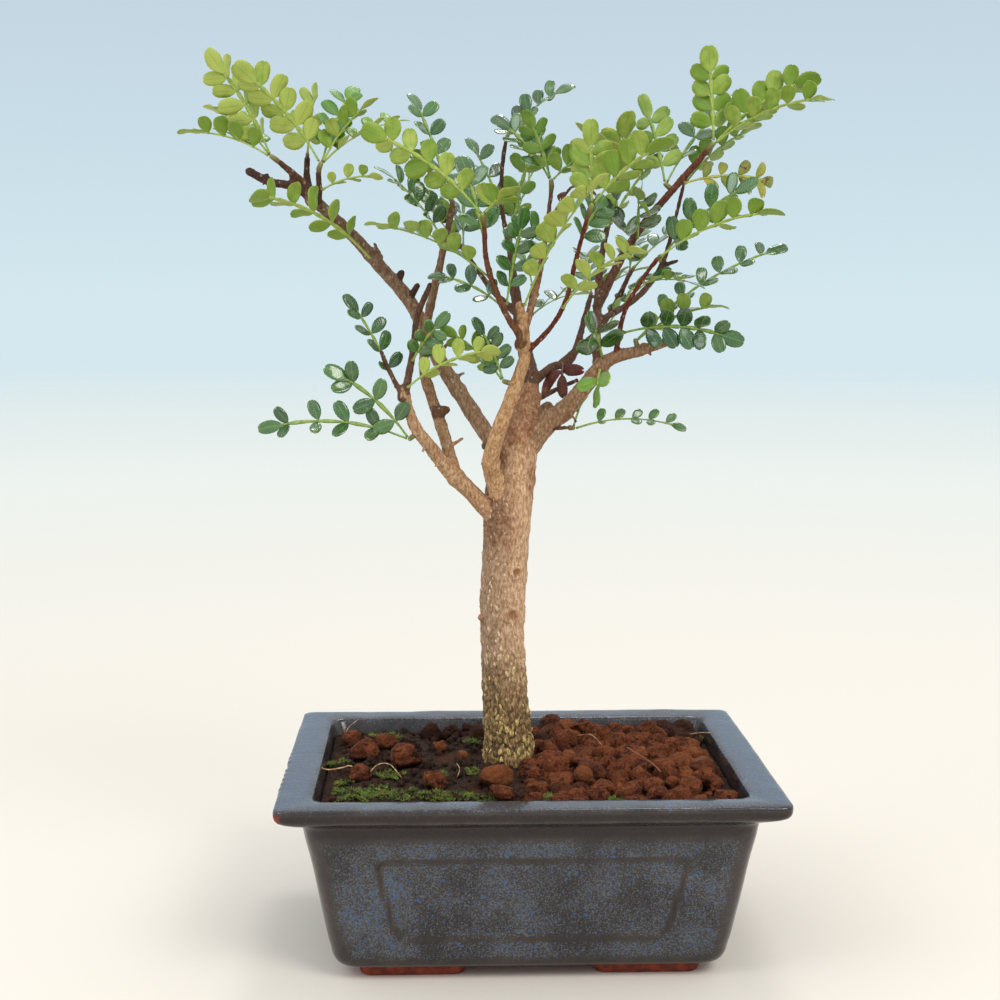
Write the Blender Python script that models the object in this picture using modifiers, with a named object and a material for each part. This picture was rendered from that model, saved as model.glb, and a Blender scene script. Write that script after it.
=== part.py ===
"""Chinese pepper bonsai in a glazed rectangular pot.

The tables are in millimetres, with the pot's middle on the ground as their zero, +X to the
right, +Y to the back and +Z up. The finished part is moved so that its origin is the middle
of the bottom of its whole box.
"""
import itertools
import math
import random

import bmesh
import bpy
from mathutils import Matrix, Vector
from mathutils.bvhtree import BVHTree
from mathutils.geometry import intersect_point_line

MM = 0.001
# Room between pieces that touch, and how far a cutter runs past what it cuts
GAP = 0.3
PAST = 1.0

# Pot: half length of the rim, what the half width is less, and heights
RIM_HALF_X = 75.0
WIDTH_LESS = 17.5
POT_HEIGHT = 58.0
FOOT_HEIGHT = 3.5
FLOOR_TOP = 8.5
CORNER_STEPS = 3
# Each ring of the pot: height, half length, corner radius, from the middle of the base up
# the outer wall, round the lip and down the inner wall to the floor
OUTER_WALL = [
    (FOOT_HEIGHT, 55.5, 8.0), (4.6, 58.4, 9.0), (6.8, 59.8, 10.0), (9.5, 60.4, 10.0),
    (15.5, 61.7, 10.0), (35.0, 65.0, 10.0), (44.7, 67.0, 10.0), (50.2, 68.2, 10.0),
]
LIP = [
    (51.6, 70.6, 8.0), (53.7, 74.3, 4.5), (57.0, RIM_HALF_X, 4.0), (57.8, 74.0, 4.0),
    (POT_HEIGHT, 70.0, 5.0), (57.6, 65.6, 5.5), (56.5, 64.3, 6.0),
]
INNER_WALL = [
    (50.0, 62.8, 7.0), (38.0, 60.8, 8.0), (11.0, 56.6, 8.0), (FLOOR_TOP, 54.0, 7.0),
]
FOOT_HALF = (16.5, 12.5)
FOOT_CENTRE = (35.5, 25.0)
FOOT_TAPER = 0.8
FOOT_SUNK = 1.5
FOOT_CORNER = 3.0
DRAIN_RADIUS = 6.0
DRAIN_X = 27.0
PANEL_DEPTH = 0.7
PANEL_Z = (14.0, 39.5)
PANEL_HALF = (40.0, 46.5)
PANEL_CORNER = 4.0

# Screen of plastic mesh over each drainage hole
SCREEN_HALF = 12.0
SCREEN_THICK = 0.9
SCREEN_HOLES = 3
SCREEN_HOLE = 4.8
SCREEN_PITCH = 6.8

# Soil: level at the edge, how it rises inside (distance from the edge, rise), and clods
SOIL_LEVEL = 52.6
SOIL_CROWN = [(0.0, 0.0), (9.0, 1.3), (24.0, 2.2)]
LOOSE_CLODS = [
    (-38, -3, 4.6), (-52, 9, 3.6), (-46, 20, 3.4), (-27, 5, 3.6), (-24, 24, 4.6), (-15, 30, 4.0),
    (-33, -20, 3.2), (-52, -14, 2.8), (-20, -24, 3.4), (-9, -36, 3.4), (-30, 33, 3.2), (-57, 30, 3.0),
]
CLOD_FIELD = ((0.0, 60.0), (-43.0, 43.0))
CLOD_COUNT = 24
CLOD_RADIUS = (3.4, 5.4)
CLOD_SPACING = 1.02
CLOD_WIDTH = (0.75, 1.0)
CLOD_TALL = (0.7, 0.95)
CLOD_RISE = (0.4, 0.0)
CLOD_JITTER = 0.16
SOIL_SEED = 5

# Trunk below ground, and the hole in the soil that takes it
STUMP = Vector((-5.0, 6.0, 36.0))
STUMP_RADIUS = 8.2
HOLE_TOP = 66.0

# Wood: name, radius at the start and at the end, and the route of the middle line
BRANCHES = [
    ("low_left", 3.2, 1.5, [(-6, 6, 130), (-18, 2, 143), (-24, 0, 149), (-30, -3, 157), (-35, -5, 164),
                            (-38, -7, 174)]),
    ("low_left_up", 1.3, 0.9, [(-38, -7, 172), (-35, -8, 188), (-34, -8, 197), (-30, -9, 207)]),
    ("low_left_thin", 0.9, 0.7, [(-38, -7, 172), (-43, -9, 182), (-45, -10, 187)]),
    ("low_left_back", 2.1, 1.0, [(-22, 1, 147), (-26, 5, 161), (-30, 8, 173), (-32, 8, 181), (-31, 6, 195),
                                 (-27, 1, 213), (-23, -1, 231)]),
    ("left", 2.8, 1.8, [(-4, 7, 150), (-12, 8, 160), (-20, 12, 172), (-27, 14, 183), (-36, 15, 201),
                        (-46, 12, 213), (-55, 9, 223), (-67, 4, 234)]),
    ("left_out", 1.4, 1.3, [(-65, 5, 233), (-73, 2, 237), (-79, 0, 238), (-85, -2, 241)]),
    ("left_a", 1.5, 0.9, [(-66, 4, 233), (-69, 3, 238), (-76, 0, 244)]),
    ("left_b", 1.4, 0.9, [(-66, 4, 233), (-68, 6, 239), (-68, 8, 246)]),
    ("left_c", 1.2, 0.9, [(-65, 5, 231), (-64, 2, 235), (-64, 0, 241)]),
    ("mid", 3.1, 1.4, [(-7, 4, 138), (-11, -1, 150), (-10, -6, 159), (-4, -9, 176), (-1, -10, 187),
                       (-3, -13, 201)]),
    ("mid_r", 1.2, 0.7, [(-2, -12, 191), (2, -10, 205), (5, -7, 220), (7, -5, 236)]),
    ("mid_l", 1.1, 0.8, [(-2, -12, 190), (-8, -16, 200), (-13, -20, 213), (-14, -23, 225)]),
    ("leader", 3.0, 1.1, [(1, 9, 168), (2, 13, 178), (0, 18, 188), (-3, 26, 209), (-4, 30, 220)]),
    ("leader_top", 0.9, 0.7, [(-4, 29, 217), (-7, 25, 233), (-7, 19, 245), (-6, 14, 253)]),
    ("leader_r", 1.6, 0.9, [(1, 12, 175), (9, 17, 181), (16, 22, 184), (23, 34, 204)]),
    ("back_l", 1.3, 0.8, [(-1, 22, 197), (-10, 30, 206), (-20, 34, 220)]),
    ("back_r", 1.3, 0.8, [(12, 20, 182), (26, 27, 194), (36, 31, 212)]),
    ("back_m", 1.3, 0.8, [(1, 14, 181), (1, 27, 191), (4, 37, 206)]),
    ("right", 3.9, 1.3, [(-1, 8, 154), (7, 4, 164), (12, 2, 168), (19, -2, 177), (25, -4, 184),
                         (34, -8, 187), (43, -10, 190)]),
    ("right_up", 1.6, 0.8, [(22, -2, 181), (22, 3, 194), (24, 10, 216), (29, 14, 237)]),
    ("right_top", 1.6, 1.0, [(22, 5, 200), (30, 5, 216), (38, 3, 228), (55, -2, 248)]),
    ("right_back", 1.1, 0.6, [(23, 4, 196), (36, 9, 204), (44, 10, 216), (50, 10, 240)]),
    ("red", 0.9, 0.7, [(-1, -10, 186), (7, -14, 195), (11, -16, 203), (13, -18, 212), (17, -20, 228)]),
    ("red_right", 0.9, 0.7, [(27, -5, 185), (29, -12, 199), (34, -16, 209), (38, -19, 215)]),
    ("low_right", 0.8, 0.6, [(7, 4, 162), (13, -2, 163)]),
    ("low_right_back", 1.0, 0.7, [(2, 10, 170), (10, 13, 174), (17, 14, 177)]),
    # Short stubs and spurs left by pruning
    ("stub_1", 1.1, 1.2, [(-41, 14, 206), (-39, 13, 211)]),
    ("stub_2", 1.1, 1.0, [(-37, 15, 202), (-34, 11, 207)]),
    ("stub_3", 2.4, 1.5, [(-29, 6, 167), (-25, 5, 168)]),
    ("stub_8", 2.4, 1.4, [(-8, 3, 155), (-13, 1, 157)]),
    ("stub_10", 2.6, 2.0, [(4, 8, 163), (7, 5, 169)]),
    ("stub_11", 2.4, 1.4, [(-9, 5, 101), (-14, 3, 102)]),
    ("stub_13", 0.9, 0.6, [(43, 10, 213), (48, 9, 215)]),
]
TRUNK_ROUTE = [
    (-5, 6, 36), (-5, 6, 55), (-5, 6, 62), (-6, 6, 74), (-7, 6, 94), (-7, 6, 107), (-6, 6, 125),
    (-5, 7, 142), (-3, 8, 155), (0, 9, 164), (2, 10, 173),
]
TRUNK_RADII = [8.2, 8.2, 7.8, 7.2, 7.0, 7.3, 7.3, 7.8, 7.2, 5.4, 3.0]
TRUNK_STEP = 9.0
WOOD_STEP = 12.0
# Blunt end of a branch: how far it goes on and how wide it still is, in end radii
DOME = (0.8, 0.45)
THICK_LIMB = 2.7

# Leaves: where the upper side of a leaf looks, and the shape that all leaves share. The rib is
# winged, leaflets stand at an angle to it and fold up, and the leaf arches by a share of its length
FACING = {
    "under": (0.0, 0.9, 0.45), "half_under": (0.0, 0.6, 0.8), "level": (0.0, 0.05, 1.0),
    "half_upper": (0.0, -0.5, 0.85), "upper": (0.0, -0.9, 0.45),
}
BLADE = 0.7
WING = 0.65
PETIOLE_HALF = 0.35
BASE_HALF = 0.6
LAST_PAIR = 1.6
TERMINAL = 1.1
LEAFLET_WIDE = 0.58
WIDEST_AT = 0.6
LEAFLET_ANGLE = math.radians(60)
FOLD = math.radians(34)
BUD_RADIUS = 1.6
ARCH = 0.09
# Longer leaves have fewer pairs here than the five or six of the plant
MOST_PAIRS = 3
# Sprays: tone, foot on the wood, then each leaf as its tip, pairs, facing and leaflet length
SPRAYS = [
    ("lime", (-64, 0, 242), [((-88, -14, 271), 5, "under", 8.0), ((-53, 18, 269), 4, "upper", 6.5),
                             ((-45, 2, 263), 4, "half_under", 6.5), ((-38, 18, 260), 4, "half_upper", 6.0)]),
    ("lime", (-77, 0, 245), [((-96, -14, 275), 5, "under", 8.0), ((-106, -6, 252), 4, "half_under", 7.0),
                             ((-100, 14, 262), 4, "level", 7.0)]),
    ("lime", (-68, 8, 247), [((-66, 22, 270), 3, "half_under", 6.5)]),
    ("lime", (-63, 1, 236), [((-44, -6, 239), 3, "half_under", 4.5)]),
    ("lime", (-49, 7, 215), [((-82, -30, 232), 5, "half_under", 7.5)]),
    ("lime", (-14, -23, 226), [((-50, -30, 251), 5, "under", 7.5), ((-4, -34, 234), 2, "half_under", 8.0)]),
    ("dark", (-23, -1, 232), [((-36, 6, 266), 4, "half_upper", 6.5), ((-40, -6, 249), 3, "half_under", 6.0)]),
    ("dark", (7, -5, 237), [((-11, 6, 259), 4, "upper", 7.5), ((-2, -12, 259), 3, "half_under", 6.5),
                            ((22, -14, 247), 3, "half_under", 7.5)]),
    ("dark", (-4, 30, 222), [((5, 18, 258), 4, "half_under", 7.0), ((-18, 40, 256), 4, "level", 7.0),
                             ((8, 48, 252), 4, "level", 7.0)]),
    ("lime", (-2, -14, 202), [((20, -42, 238), 6, "half_under", 8.0)]),
    ("dark", (-9, -15, 201), [((-31, -9, 210), 3, "half_upper", 6.0)]),
    ("lime", (17, -20, 230), [((40, -36, 248), 4, "half_under", 8.5),
                              ((17, -24, 255), 4, "half_under", 7.5)]),
    ("dark", (-5, -9, 177), [((-17, -14, 197), 4, "upper", 6.0), ((-27, -12, 194), 4, "half_under", 5.5)]),
    ("lime", (-37, -8, 176), [((-10, -24, 189), 4, "half_under", 6.0)]),
    ("dark", (-35, -10, 184), [((-25, -19, 197), 3, "upper", 6.0)]),
    ("dark", (-40, -8, 176), [((-58, -6, 203), 4, "half_upper", 6.5)]),
    ("dark", (-36, -5, 160), [((-62, -12, 182), 3, "upper", 7.5), ((-82, -14, 165), 4, "upper", 7.0)]),
    ("dark", (14, -2, 163), [((49, -10, 163), 5, "half_upper", 4.6), ((18, 10, 173), 1, "half_upper", 4.5)]),
    ("lime", (22, -7, 181), [((20, -16, 170), 1, "half_under", 7.5)]),
    ("dark", (23, -5, 186), [((17, -22, 197), 2, "upper", 9.0)]),
    ("lime", (56, -2, 249), [((54, -6, 279), 4, "under", 7.5), ((87, -14, 269), 5, "under", 7.5),
                             ((88, -28, 261), 5, "half_under", 7.0)]),
    ("yellow", (48, 0, 239), [((78, 4, 242), 4, "half_upper", 6.0)]),
    ("dark", (41, 7, 216), [((69, -14, 238), 4, "upper", 8.0)]),
    ("lime", (38, -19, 217), [((73, -34, 228), 5, "half_under", 7.5)]),
    ("dark", (33, -8, 190), [((80, -6, 219), 6, "half_upper", 6.5), ((59, -24, 201), 4, "half_under", 6.5)]),
    ("lime", (10, -17, 200), [((35, -47, 217), 5, "half_under", 6.5)]),
    ("dark", (35, 0, 221), [((33, -14, 243), 4, "upper", 7.5)]),
    ("dark", (44, 1, 237), [((71, 22, 269), 4, "half_upper", 7.0), ((36, 10, 266), 4, "half_under", 7.5)]),
    ("dark", (28, -9, 193), [((65, -20, 188), 5, "upper", 7.0)]),
    ("lime", (29, 14, 239), [((31, 0, 260), 4, "under", 9.0), ((18, 2, 258), 3, "level", 7.5)]),
    ("dark", (-26, -1, 221), [((-47, -4, 243), 5, "half_upper", 7.0)]),
    ("dark", (-14, -19, 219), [((-20, -14, 247), 3, "upper", 8.5)]),
    ("dark", (-12, -18, 209), [((-49, -32, 224), 6, "half_upper", 7.5)]),
    ("dark", (-8, -16, 201), [((-3, -22, 230), 4, "upper", 6.5)]),
    ("dark", (4, -8, 222), [((-8, -20, 221), 2, "upper", 6.0)]),
        ("dark", (14, -15, 219), [((24, -6, 234), 3, "upper", 7.0)]),
    ("dark", (26, 10, 226), [((29, -8, 236), 3, "upper", 7.0)]),
    ("dark", (34, -16, 208), [((51, -27, 206), 3, "half_upper", 6.5)]),
    ("dark", (-6, 14, 254), [((15, 8, 269), 4, "half_upper", 6.5)]),
]
# Leaves on the far side, placed by a rule: branch, share of its length where they start and
# end, and how many
FILL = [
    ("back_l", 0.5, 1.0, 3), ("back_m", 0.6, 1.0, 2), ("back_r", 0.5, 1.0, 3), ("leader_r", 0.7, 1.0, 2),
    ("right_back", 0.8, 1.0, 1), ("right_up", 0.7, 0.8, 1),
]
FILL_SEED = 11
FILL_REACH = (25.0, 33.0)
FILL_TURN = (0.35, 1.0)
FILL_LIFT = (-0.1, 0.45)
FILL_FACING = (0.0, 0.25, 1.0)
FILL_LEAFLET = 6.8
FILL_PAIRS = 2
CROWN_HEART = Vector((0.0, 4.0, 190.0))
# Search for room: degrees that a leaf may bend, ways it may bend, degrees of twist, and what
# stays clear round it
BENDS = [0, 4, 8, 12, 17, 23, 30, 38, 46]
BEND_WAYS = 12
TWISTS = [0, 20, -20, 40, -40]
LEAF_CLEAR = 0.5
BUD_CLEAR = 1.0
BUD_ROOM = 0.9
BUD_INSET = 0.6
RIB_TESTS = 18
WOOD_CLEAR = 0.15

# Dried leaflets: foot on the wood, tip, pairs, leaflet length
DRY_LEAVES = [((12, 18, 182), (9, 14, 169), 1, 8.0), ((6, -6, 228), (18, 0, 242), 1, 6.0)]

COLOURS = {
    "glaze": ((0.05, 0.09, 0.17), 0.25), "soil": ((0.12, 0.045, 0.025), 0.95),
    "bark": ((0.33, 0.24, 0.16), 0.85), "screen": ((0.03, 0.03, 0.03), 0.5),
    "dark": ((0.05, 0.2, 0.04), 0.35), "lime": ((0.32, 0.5, 0.08), 0.5),
    "yellow": ((0.5, 0.5, 0.08), 0.5), "dry": ((0.14, 0.035, 0.02), 0.7),
}


# Scene and materials

def clear_scene():
    for obj in list(bpy.data.objects):
        bpy.data.objects.remove(obj, do_unlink=True)


def make_material(name):
    colour, roughness = COLOURS[name]
    material = bpy.data.materials.new(name)
    material.use_nodes = True
    shader = material.node_tree.nodes["Principled BSDF"]
    shader.inputs["Base Color"].default_value = (*colour, 1.0)
    shader.inputs["Roughness"].default_value = roughness
    material.diffuse_color = (*colour, 1.0)
    return material


def add_object(name, mesh, material=None):
    obj = bpy.data.objects.new(name, mesh)
    if material is not None:
        mesh.materials.clear()
        mesh.materials.append(material)
    parts.objects.link(obj)
    return obj


def mesh_from(name, points, faces):
    """Mesh in metres from points in millimetres."""
    mesh = bpy.data.meshes.new(name)
    mesh.from_pydata([Vector(point) * MM for point in points], [], faces)
    work = bmesh.new()
    work.from_mesh(mesh)
    bmesh.ops.recalc_face_normals(work, faces=work.faces)
    work.to_mesh(mesh)
    work.free()
    return mesh


def evaluated_mesh(obj):
    depsgraph = bpy.context.evaluated_depsgraph_get()
    return bpy.data.meshes.new_from_object(obj.evaluated_get(depsgraph))


def combine(obj, others, operation, solver="EXACT"):
    """Apply one Boolean of obj with all the others, and remove them."""
    group = bpy.data.collections.new("operands")
    bpy.context.scene.collection.children.link(group)
    for other in others:
        parts.objects.unlink(other)
        group.objects.link(other)
    modifier = obj.modifiers.new("combine", "BOOLEAN")
    modifier.operation = operation
    modifier.operand_type = "COLLECTION"
    modifier.collection = group
    modifier.solver = solver
    result = evaluated_mesh(obj)
    obj.modifiers.clear()
    obj.data = result
    for other in others:
        bpy.data.objects.remove(other, do_unlink=True)
    bpy.data.collections.remove(group)
    return obj


# Rounded rings and lofts

def rounded_outline(corners, radius, steps=CORNER_STEPS):
    """Corners of a flat outline, each replaced by a curve that starts at radius from it."""
    outline = []
    count = len(corners)
    for index, corner in enumerate(corners):
        corner = Vector(corner)
        before = (Vector(corners[index - 1]) - corner).normalized() * radius
        after = (Vector(corners[(index + 1) % count]) - corner).normalized() * radius
        for step in range(steps + 1):
            t = step / steps
            outline.append(corner + before * (1 - t) ** 2 + after * t ** 2)
    return outline


def rectangle(half_x, half_y, radius, z, steps=CORNER_STEPS, centre=(0.0, 0.0)):
    corners = [(-half_x, -half_y), (half_x, -half_y), (half_x, half_y), (-half_x, half_y)]
    outline = rounded_outline(corners, radius, steps)
    return [Vector((point.x + centre[0], point.y + centre[1], z)) for point in outline]


def loft(name, rings, material=None):
    """Closed body through rings with equal numbers of points."""
    count = len(rings[0])
    points = [point for ring in rings for point in ring]
    faces = [tuple(range(count)), tuple(range(len(points) - count, len(points)))]
    for level in range(len(rings) - 1):
        low, high = level * count, (level + 1) * count
        for index in range(count):
            after = (index + 1) % count
            faces.append((low + index, low + after, high + after, high + index))
    return add_object(name, mesh_from(name, points, faces), material)


def ring_at(ring, inset=0.0):
    z, half_x, radius = ring
    return rectangle(half_x - inset, half_x - WIDTH_LESS - inset, radius, z)


def block(name, half, centre, low, high, material=None):
    """Square block."""
    work = bmesh.new()
    middle = Matrix.Translation(Vector((centre[0], centre[1], (low + high) / 2)) * MM)
    size = Matrix.Diagonal((2 * half * MM, 2 * half * MM, (high - low) * MM, 1.0))
    bmesh.ops.create_cube(work, size=1.0, matrix=middle @ size)
    mesh = bpy.data.meshes.new(name)
    work.to_mesh(mesh)
    work.free()
    return add_object(name, mesh, material)


def cylinder(name, radius, centre, low, high, sides):
    work = bmesh.new()
    middle = Matrix.Translation(Vector((centre[0], centre[1], (low + high) / 2)) * MM)
    bmesh.ops.create_cone(work, cap_ends=True, segments=sides, radius1=radius * MM, radius2=radius * MM,
                          depth=(high - low) * MM, matrix=middle)
    mesh = bpy.data.meshes.new(name)
    work.to_mesh(mesh)
    work.free()
    return add_object(name, mesh)


# Pot and screens

def wall_half(z):
    """Half length of the outer wall at a height."""
    for (low, half_low, _), (high, half_high, _) in zip(OUTER_WALL, OUTER_WALL[1:]):
        if z <= high:
            return half_low + (half_high - half_low) * (z - low) / (high - low)
    return OUTER_WALL[-1][1]


def panel_cutter(side):
    """Shallow rounded panel in one of the four walls."""
    narrower = WIDTH_LESS if side % 2 else 0.0
    low, high = PANEL_Z
    corners = [(-PANEL_HALF[0] + narrower, low), (PANEL_HALF[0] - narrower, low),
               (PANEL_HALF[1] - narrower, high), (-PANEL_HALF[1] + narrower, high)]
    outline = rounded_outline(corners, PANEL_CORNER)
    away = WIDTH_LESS - narrower
    turn = Matrix.Rotation(side * math.pi / 2, 3, "Z")
    slope = (wall_half(high) - wall_half(low)) / (high - low)
    rings = []
    for depth in (PANEL_DEPTH, -PAST):
        rings.append([turn @ Vector((p.x, -(wall_half(low) + slope * (p.y - low) - away - depth), p.y))
                      for p in outline])
    return loft("panel_cutter", rings)


def make_pot(material):
    pot = loft("pot", [ring_at(ring) for ring in OUTER_WALL + LIP + INNER_WALL], material)
    feet = []
    for side_x in (-1, 1):
        for side_y in (-1, 1):
            centre = (side_x * FOOT_CENTRE[0], side_y * FOOT_CENTRE[1])
            low = rectangle(FOOT_HALF[0] - FOOT_TAPER, FOOT_HALF[1] - FOOT_TAPER, FOOT_CORNER, 0.0, 2, centre)
            high = rectangle(*FOOT_HALF, FOOT_CORNER, FOOT_HEIGHT + FOOT_SUNK, 2, centre)
            feet.append(loft("foot", [low, high]))
    combine(pot, feet, "UNION")
    cutters = [panel_cutter(side) for side in range(4)]
    for x in (-DRAIN_X, DRAIN_X):
        cutters.append(cylinder("drain", DRAIN_RADIUS, (x, 0.0), -PAST, FLOOR_TOP + PAST, 20))
    return combine(pot, cutters, "DIFFERENCE")


def make_screen(name, x, material):
    """Square of plastic mesh that lies on the pot's floor."""
    low = FLOOR_TOP + GAP
    plate = block(name, SCREEN_HALF, (x, 0.0), low, low + SCREEN_THICK, material)
    holes = []
    first = -SCREEN_PITCH * (SCREEN_HOLES - 1) / 2
    for column in range(SCREEN_HOLES):
        for row in range(SCREEN_HOLES):
            centre = (x + first + column * SCREEN_PITCH, first + row * SCREEN_PITCH)
            holes.append(block("hole", SCREEN_HOLE / 2, centre, low - PAST, low + SCREEN_THICK + PAST))
    return combine(plate, holes, "DIFFERENCE")


# Soil

def soil_height(x, y):
    half_x = INNER_WALL[0][1]
    inside = min(half_x - abs(x), half_x - WIDTH_LESS - abs(y))
    for (near, low), (far, high) in zip(SOIL_CROWN, SOIL_CROWN[1:]):
        if inside < far:
            return SOIL_LEVEL + low + (high - low) * max(0.0, inside - near) / (far - near)
    return SOIL_LEVEL + SOIL_CROWN[-1][1]


def lump(name, centre, radii, rng):
    """Rough stone-like lump."""
    work = bmesh.new()
    bmesh.ops.create_icosphere(work, subdivisions=1, radius=1.0)
    turn = Matrix.Rotation(rng.uniform(0, math.tau), 3, "Z") @ Matrix.Rotation(rng.uniform(0, 1.0), 3, "X")
    for vert in work.verts:
        point = turn @ vert.co * rng.uniform(1 - CLOD_JITTER, 1 + CLOD_JITTER)
        vert.co = (Vector(centre) + Vector([p * r for p, r in zip(point, radii)])) * MM
    mesh = bpy.data.meshes.new(name)
    work.to_mesh(mesh)
    work.free()
    return add_object(name, mesh)


def clod_places(rng):
    """Loose clods on the left by hand, a heap of them on the right by dart throwing."""
    places = list(LOOSE_CLODS)
    tries = 0
    while len(places) < CLOD_COUNT + len(LOOSE_CLODS) and tries < 4000:
        tries += 1
        radius = rng.uniform(*CLOD_RADIUS)
        x = rng.uniform(*CLOD_FIELD[0])
        y = rng.uniform(*CLOD_FIELD[1])
        near = any(math.hypot(x - px, y - py) < CLOD_SPACING * (radius + pr) for px, py, pr in places)
        trunk = math.hypot(x - STUMP.x, y - STUMP.y) < STUMP_RADIUS + radius
        if not near and not trunk:
            places.append((x, y, radius))
    return places


def make_soil(material):
    rng = random.Random(SOIL_SEED)
    rings = []
    inset = GAP + 0.05
    for z, half_x, radius in reversed(INNER_WALL):
        level = z + (GAP if z == FLOOR_TOP else 0.0)
        rings.append(rectangle(half_x - inset, half_x - WIDTH_LESS - inset, radius, level))
    # The wall leans outward above the last ring, so the top may be a little wider
    top_x = INNER_WALL[0][1] + 0.2
    for inside, rise in SOIL_CROWN:
        rings.append(rectangle(top_x - inside, top_x - WIDTH_LESS - inside, 7.0, SOIL_LEVEL + rise))
    soil = loft("soil", rings, material)
    lumps = []
    room_x = INNER_WALL[0][1] - GAP * 2
    for x, y, radius in clod_places(rng):
        reach = radius * (1 + CLOD_JITTER)
        x = max(-room_x + reach, min(room_x - reach, x))
        y = max(-room_x + WIDTH_LESS + reach, min(room_x - WIDTH_LESS - reach, y))
        level = soil_height(x, y) + radius * rng.uniform(*CLOD_RISE)
        radii = (radius, radius * rng.uniform(*CLOD_WIDTH), radius * rng.uniform(*CLOD_TALL))
        lumps.append(lump("clod", (x, y, level), radii, rng))
    combine(soil, lumps, "UNION")
    cutters = [cylinder("trunk_hole", STUMP_RADIUS + GAP * 2, STUMP, STUMP.z - GAP, HOLE_TOP, 24)]
    high = FLOOR_TOP + GAP + SCREEN_THICK + GAP
    for x in (-DRAIN_X, DRAIN_X):
        cutters.append(block("pocket", SCREEN_HALF + GAP, (x, 0.0), FLOOR_TOP - PAST, high))
    return combine(soil, cutters, "DIFFERENCE")


# Wood

def smooth_route(points, radii, step):
    """Points and radii along a smooth curve through a route, about one step apart."""
    points = [Vector(point) for point in points]
    padded = [points[0] * 2 - points[1]] + points + [points[-1] * 2 - points[-2]]
    route = []
    for index in range(len(points) - 1):
        a, b, c, d = padded[index:index + 4]
        pieces = max(1, round((c - b).length / step))
        for piece in range(pieces):
            t = piece / pieces
            point = 0.5 * (2 * b + (c - a) * t + (2 * a - 5 * b + 4 * c - d) * t * t
                           + (3 * b - a - 3 * c + d) * t ** 3)
            route.append((point, radii[index] * (1 - t) + radii[index + 1] * t))
    route.append((points[-1], radii[-1]))
    return route


def branch_route(first, last, points):
    """Route of a branch that tapers evenly and ends in a blunt dome."""
    spans = [(Vector(b) - Vector(a)).length for a, b in zip(points, points[1:])]
    total = sum(spans)
    radii = [first + (last - first) * sum(spans[:index]) / total for index in range(len(points))]
    route = smooth_route(points, radii, WOOD_STEP)
    heading = (route[-1][0] - route[-2][0]).normalized()
    route.append((route[-1][0] + heading * last * DOME[0], last * DOME[1]))
    return route


def tube(name, route, detail):
    """Round tube with closed ends, as a mesh."""
    curve = bpy.data.curves.new(name, "CURVE")
    curve.dimensions = "3D"
    curve.bevel_depth = MM
    curve.bevel_resolution = detail
    curve.use_fill_caps = True
    spline = curve.splines.new("POLY")
    spline.points.add(len(route) - 1)
    for target, (point, radius) in zip(spline.points, route):
        target.co = (*(point * MM), 1.0)
        target.radius = radius
    guide = bpy.data.objects.new(name + "_guide", curve)
    parts.objects.link(guide)
    mesh = evaluated_mesh(guide)
    work = bmesh.new()
    work.from_mesh(mesh)
    bmesh.ops.remove_doubles(work, verts=work.verts, dist=0.00002)
    bmesh.ops.recalc_face_normals(work, faces=work.faces)
    work.to_mesh(mesh)
    work.free()
    tube_object = add_object(name, mesh)
    tube_object.matrix_world = guide.matrix_world
    bpy.data.objects.remove(guide, do_unlink=True)
    return tube_object


def wood_routes():
    routes = {"trunk": smooth_route(TRUNK_ROUTE, TRUNK_RADII, TRUNK_STEP)}
    for name, first, last, points in BRANCHES:
        routes[name] = branch_route(first, last, points)
    return routes


def make_trunk(routes, material):
    trunk = tube("trunk", routes["trunk"], 3)
    trunk.data.materials.append(material)
    limbs = []
    for name, route in routes.items():
        if name != "trunk":
            limbs.append(tube(name, route, 2 if route[0][1] > THICK_LIMB else 1))
    return combine(trunk, limbs, "UNION")


# Leaves

def wood_near(routes, point):
    """Nearest place on the wood: gap to its surface, middle point, radius, heading, is it a tip."""
    best = None
    for route in routes.values():
        for index in range(len(route) - 1):
            (a, radius_a), (b, radius_b) = route[index], route[index + 1]
            middle, share = intersect_point_line(point, a, b)
            share = max(0.0, min(1.0, share))
            middle = a + (b - a) * share
            radius = radius_a + (radius_b - radius_a) * share
            gap = (point - middle).length - radius
            if best is None or gap < best[0]:
                tip = index >= len(route) - 2 and share > 0.3
                best = (gap, middle, radius, (b - a).normalized(), tip)
    return best


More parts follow.
